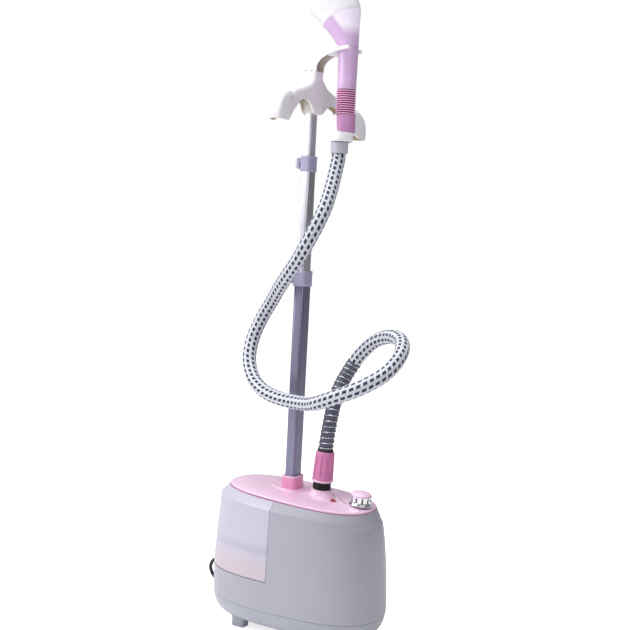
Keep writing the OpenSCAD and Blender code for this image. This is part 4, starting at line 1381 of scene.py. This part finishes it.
def add_fork(s):
    """The U of the holder: two prongs round the handset's neck, tips turned up a little."""
    centre = 46.5
    half = [(8, 0), (8, 13.4), (14, 15.4), (24, 20), (32, 24.4), (38, 26), (50, 26.5),
            (57, 26.4), (60.6, 25.6), (61.2, 23.6), (60.6, 20.4), (58, 19.4), (52, 19.1)]
    for a in np.radians(np.linspace(80, 180, 12)):
        half.append((centre + 19 * math.cos(a), 19 * math.sin(a)))
    outline = half + [(x, -y) for x, y in reversed(half) if y > 0.01]
    tilt = math.radians(7)
    rings = []
    for inset, z in ((1.0, -3), (0.2, -2.6), (0, -1.8), (0, 1.6), (0.2, 2.4), (0.7, 2.85),
                     (1.3, 3)):
        ring = np.array([(x, y, 0.0) for x, y in outline])
        near = pulled_in(ring, inset)
        x = near[:, 0] - centre
        rings.append(np.stack([centre + x * math.cos(tilt) - z * math.sin(tilt), near[:, 1],
                               1043.5 + x * math.sin(tilt) + z * math.cos(tilt)], 1))
    base = len(s.points)
    s.loft(rings, caps=(False, False))
    n = len(rings[0])
    for i in (0, len(rings) - 1):
        loop = [Vector((p[0], p[1], 0)) for p in rings[i]]
        for a, b, c in tessellate_polygon([loop]):
            s.add((base + i * n + a, base + i * n + b, base + i * n + c))


def pulled_in(ring, d):
    """A plan outline moved to its left by d, for outlines that go anticlockwise or not."""
    area = np.sum(ring[:, 0] * np.roll(ring[:, 1], -1) - np.roll(ring[:, 0], -1) * ring[:, 1])
    return drawn_in(ring, d if area > 0 else -d)


# ---- Handset ----

TOP_CUFF_X, COLLAR_X, HANDLE_X, NECK_X = 39.0, 48.6, 47.2, 46.5
FACE_PLACE = (27, 0, 1108)


def add_top_cuff():
    profile = [(12.6, 864), (14.4, 864), (15.0, 864.6), (15.2, 866), (15.2, 876), (15.3, 881),
               (14.8, 881.8), (14.8, 883.6), (12.9, 883.6), (12.9, 864)]
    rings = [r + (TOP_CUFF_X, 0, 0) for r in turned(profile, 72)]
    s = Shape().loft(rings, caps=(False, False))
    s.make("hose_end_cuff", "handset", "inner_white", "cuff_grey",
           "hose_top_cuff", crease=40)


def add_collar():
    """White cup under the sleeve: a full ring below that rises behind to the bellows."""
    sides = 120
    a = angles(sides)
    behind = np.abs(np.mod(a + math.pi, math.tau) - math.pi)
    lift = np.clip((np.degrees(behind) - 112) / 20, 0, 1)
    lift = lift**2 * (3 - 2 * lift)
    edge = 899.4 + 3 * np.clip((np.degrees(behind) - 30) / 90, 0, 1)**2 + (931 - 902.4) * lift
    rings = []

    def ring_at(x, r, z):
        return level(x + r * np.cos(a), r * np.sin(a), z)

    for x, r, z in ((41.6, 16.4, 884.6), (41.6, 18.4, 884.2), (41.7, 19.2, 884.8),
                    (42.2, 19.5, 886.5), (43.4, 19.6, 890)):
        rings.append(ring_at(x, r, z))
    for t in np.linspace(0, 1, 9):
        z = 893 + (edge - 893) * t
        share = (z - 890) / 41
        x = 43.4 + 2.6 * share
        r = 19.6 - 1.0 * share
        rings.append(ring_at(x, r, z))
    inside = 17.35
    rings += [ring_at(COLLAR_X, inside, edge), ring_at(COLLAR_X, inside, 897),
              ring_at(41.6, 15.2, 890)]
    s = Shape().band(rings)
    s.make("white_collar", "handset", "inner_white", "white", "handset_collar",
           crease=55)


def add_sleeve():
    profile = [(13.4, 899.4), (17.15, 899.4), (17.2, 900), (17.2, 930), (17, 931), (13.4, 931)]
    rings = [r + (COLLAR_X, 0, 0) for r in turned(profile, 96)]
    Shape().band(rings).make(
        "mauve_sleeve", "handset", "handle_lilac", "sleeve", "handset_sleeve")


def add_bellows():
    """Eleven soft pleats, pale on the outside and deep magenta in the folds, where the magenta is
    painted shade of the folds.
    """
    pitch, count = 3.9, 11
    profile, picks = [(13.4, 931.4), (15.4, 931.4)], [1]
    for k in range(count):
        z = 932.1 + pitch * k
        for r, dz, pick in ((15.3, 0, 1), (16.2, 0.25, 1), (17.4, 0.5, 0), (17.9, 0.95, 0),
                            (17.9, 1.35, 0), (17.4, 1.8, 0), (16.2, 2.05, 1), (15.2, 2.4, 1)):
            profile.append((r, z + dz))
            picks.append(pick)
    profile += [(15.4, 974.4), (13.4, 974.4)]
    picks += [1, 1]
    rings = [r + (HANDLE_X, 0, 0) for r in turned(profile, 96)]
    s = Shape().band(rings, pick=picks + [1])
    s.make("grip_pleats", "handset", "grip_pink", "grip grip_deep",
           "grip_bellows", crease=50)


def add_handle():
    """The lilac barrel, with a soft lower edge and a fine seam down each side."""
    rings = []
    sides = 120
    a = angles(sides)
    seam = np.minimum(np.abs(np.sin(a / 2 - math.pi / 4)), np.abs(np.sin(a / 2 + math.pi / 4)))
    groove = 0.22 * np.clip(1 - seam * 60, 0, 1)
    for r, z in ((14.2, 974.8), (15.9, 974.8), (16.5, 975.2), (16.7, 976.2), (16.7, 990),
                 (16.95, 1008), (17.3, 1028), (17.8, 1049.6)):
        x = float(np.interp(z, (974, 1010, 1049.6), (HANDLE_X, HANDLE_X, NECK_X)))
        reach = r - (groove if 976 < z < 1049 else 0)
        rings.append(level(x + reach * np.cos(a), reach * np.sin(a), z))
    rings.append(circle(14.2, sides, (NECK_X, 0), 1049.6))
    s = Shape().band(rings)
    s.make("lilac_barrel", "handset", "handle_lilac", "lilac", "handset_handle",
           crease=50)


def face_ring(x, y, rise, tilt, n=120):
    """An oval on the head's tilted face, its points starting at the front."""
    a = angles(n)
    points = level(x * np.cos(a), y * np.sin(a), rise)
    turn = Matrix.Translation(FACE_PLACE) @ Matrix.Rotation(math.radians(-tilt), 4, "Y")
    return moved([points], turn)[0]


def add_head():
    """Steam head, which flares from the neck into the wide oval of the nozzle."""
    start = circle(17.8, 120, (NECK_X, 0), 1049.8)
    end = face_ring(36.2, 31.4, -9, 25)
    outer = []
    for t in np.linspace(0, 1, 22):
        curve = t**1.12
        swell = 1 - 0.075 * math.sin(math.pi * t)
        ring = start * (1 - curve) + end * curve
        middle = ring.mean(0)
        rise = np.clip(-(ring[:, 0] - middle[0]) / 36, 0, 1)[:, None]
        outer.append(middle + (ring - middle) * (1 - (1 - swell) * (0.25 + 0.75 * rise)))
    inner = [face_ring(33.6, 28.8, -9, 25), circle(14.4, 120, (NECK_X, 0), 1050.2)]
    rings = outer + inner
    s = Shape().band(rings)
    s.make("flared_head", "handset", "handle_lilac", "head", "steam_head",
           crease=50)


def add_nozzle():
    """White nozzle shroud with a rolled rim and a recess round the steam plate."""
    stages = [(36.2, 31.4, -8.7, 25), (36.6, 31.8, -8.0, 25), (37.4, 32.6, -3, 26.4),
              (38.6, 33.8, 4, 28.4), (41, 35.6, 12, 30), (43.6, 37.4, 20, 30),
              (45.6, 38.8, 28, 30), (46, 39, 30.6, 30), (45.7, 38.8, 31.6, 30),
              (44.6, 37.8, 32, 30), (43.4, 36.6, 31.4, 30), (42.4, 35.8, 29.6, 30),
              (39.4, 33.4, 20.8, 30), (34, 29, -4, 28), (33.8, 28.8, -8.7, 25)]
    rings = [face_ring(x, y, rise, tilt) for x, y, rise, tilt in stages]
    s = Shape().band(rings)
    s.make("nozzle_shroud", "handset", "inner_white", "white", "nozzle_ring",
           crease=55)


# ---- Valve spring, inside the tank's cap ----


def add_valve_spring():
    """Coil spring over the valve's pin."""
    low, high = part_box("valve_spring")
    x, turns, per_turn = (low.x + high.x) / 2 / MM, 6, 24
    z = (low.z / MM + 0.6, high.z / MM - 0.6)
    r = (high.y - low.y) / 2 / MM - 0.55
    steps = np.arange(turns * per_turn + 1) / per_turn
    a = steps * math.tau
    climb = np.clip((steps - 0.8) / (turns - 1.6), 0, 1)
    line = np.stack([x + r * np.cos(a), r * np.sin(a), z[0] + (z[1] - z[0]) * climb], 1)
    ob = Shape().loft(tube_rings(line, 0.5, 8)).make(
        "pin_spring", None, "steel_bright", "steel", "valve_spring")
    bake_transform(ob)


add_feet()
add_valve_spring()
add_roller_mounts()
add_roller("roller_left", "wheel_left", WHEEL_Y)
add_roller("roller_right", "wheel_right", -WHEEL_Y)
add_clamp("lower_sleeve_clamp", "lower_clamp", "base", 24, 34, 640, (20, 30), (17, 27))
add_clamp("upper_sleeve_clamp", "upper_clamp", "middle_pole", 21, 31, 846, (17, 27), (14, 24))
add_lever("lower_finger_lever", "lower_clamp_lever", "lower_lever", 24, 640)
add_lever("upper_finger_lever", "upper_clamp_lever", "upper_lever", 21, 846)
add_hanger()
add_gooseneck()
add_top_cuff()
add_collar()
add_sleeve()
add_bellows()
add_handle()
add_head()
add_nozzle()

# ---- CAD nodes that keep their own shapes ----

KEPT = {
    "inside": "feed_pipe rotary_switch",
    "alloy": "boiler steam_pipe",
    "dark_steel": "heating_element",
    "black": "thermostat",
    "cuff": "water_seat tank_cap",
    "seal": "valve_pin steam_tube",
    "steel": "hanger_screws pan_screws steam_plate lower_clamp_pin upper_clamp_pin",
    "tube": "pole_middle",
    # The lower pole takes the darker metal: painted shade.
    "tube_painted_shade": "pole_lower",
    "tube_high": "pole_upper",
}


def soften(ob, material):
    """A kept node gets its material, a weld and slightly rounded edges."""
    for place in ob.material_slots:
        place.material = material
    if not ob.material_slots:
        ob.data.materials.append(material)
    weld = ob.modifiers.new("weld", "WELD")
    weld.merge_threshold = 2e-6
    add_bevel(ob, 0.25, 38)


for kind, names in KEPT.items():
    for name in names.split():
        soften(NODES[name], MATERIALS[kind])

# ---- Floor, light and surroundings ----

FLOOR_HALF = 14.0
WORLD_TURN = CAMERA_AZIMUTH
WORLD_LIGHT = 0.62


def add_floor():
    mesh = bpy.data.meshes.new("floor")
    corners = [(x * FLOOR_HALF, y * FLOOR_HALF, 0) for x, y in ((-1, -1), (1, -1), (1, 1), (-1, 1))]
    mesh.from_pydata(corners, [], [(0, 1, 2, 3)])
    m = Nodes("floor_white", linear(252, 252, 252), 0.7)
    m.paint(m.mix(m.ramp(m.noise(2.0, 2), 0.3, 0.7), linear(250, 250, 250), linear(254, 254, 254)))
    m.shader.inputs["Emission Color"].default_value = (1, 1, 1, 1)
    seen = m.tree.nodes.new("ShaderNodeLightPath").outputs["Is Camera Ray"]
    m.link(m.ramp(seen, 0, 1, 0.05, 0.7), m.shader.inputs["Emission Strength"])
    mesh.materials.append(m.material)
    floor = bpy.data.objects.new("floor", mesh)
    bpy.context.scene.collection.objects.link(floor)


def add_world():
    """White to the eye; the light itself is brighter on the left and above than on the right."""
    world = bpy.data.worlds.new("studio")
    bpy.context.scene.world = world
    world.use_nodes = True
    t = Tree(world.node_tree)
    t.tree.nodes.clear()
    where = t.tree.nodes.new("ShaderNodeTexCoord").outputs["Generated"]
    x, _, z = t.xyz(t.node("ShaderNodeMapping", Vector=where, Rotation=(0, 0, -WORLD_TURN)))
    side = t.shades(t.ramp(x, -1, 1), ((0, (1, 1, 1, 1)), (0.55, (0.56, 0.56, 0.59, 1)),
                                       (1, (0.34, 0.33, 0.36, 1))))
    band = t.shades(z, [(place, (shade, shade, shade, 1)) for place, shade in
                        ((0, 0), (0.03, 0.42), (0.14, 0.42), (0.2, 1), (1, 1))])
    light = t.mix(t.ramp(x, -0.2, 0.35), side, band, "MULTIPLY")
    lit = t.node("ShaderNodeBackground", Color=light, Strength=WORLD_LIGHT)
    seen = t.node("ShaderNodeBackground", Color=(1, 1, 1, 1))
    to_eye = t.tree.nodes.new("ShaderNodeLightPath").outputs["Is Camera Ray"]
    out = t.tree.nodes.new("ShaderNodeOutputWorld")
    t.link(t.node("ShaderNodeMixShader", _0=to_eye, _1=lit, _2=seen), out.inputs[0])


def add_light(name, place, aim, size, power):
    data = bpy.data.lights.new(name, "AREA")
    data.shape = "RECTANGLE"
    data.size, data.size_y = size
    data.energy = power
    ob = bpy.data.objects.new(name, data)
    bpy.context.scene.collection.objects.link(ob)
    ob.location = place
    ob.rotation_euler = (Vector(aim) - Vector(place)).to_track_quat("-Z", "Y").to_euler()


add_floor()
add_world()
add_light("key_left", (-1.7, -1.6, 1.9), (0, 0, 0.5), (1.0, 1.8), 30)
add_light("top_soft", (-0.2, -0.3, 2.7), (0, 0, 0.4), (1.2, 1.2), 42)
add_light("fill_high", (1.3, -0.9, 1.3), (0, 0, 1.0), (0.8, 0.8), 2.5)
bpy.context.scene.view_settings.view_transform = "Standard"
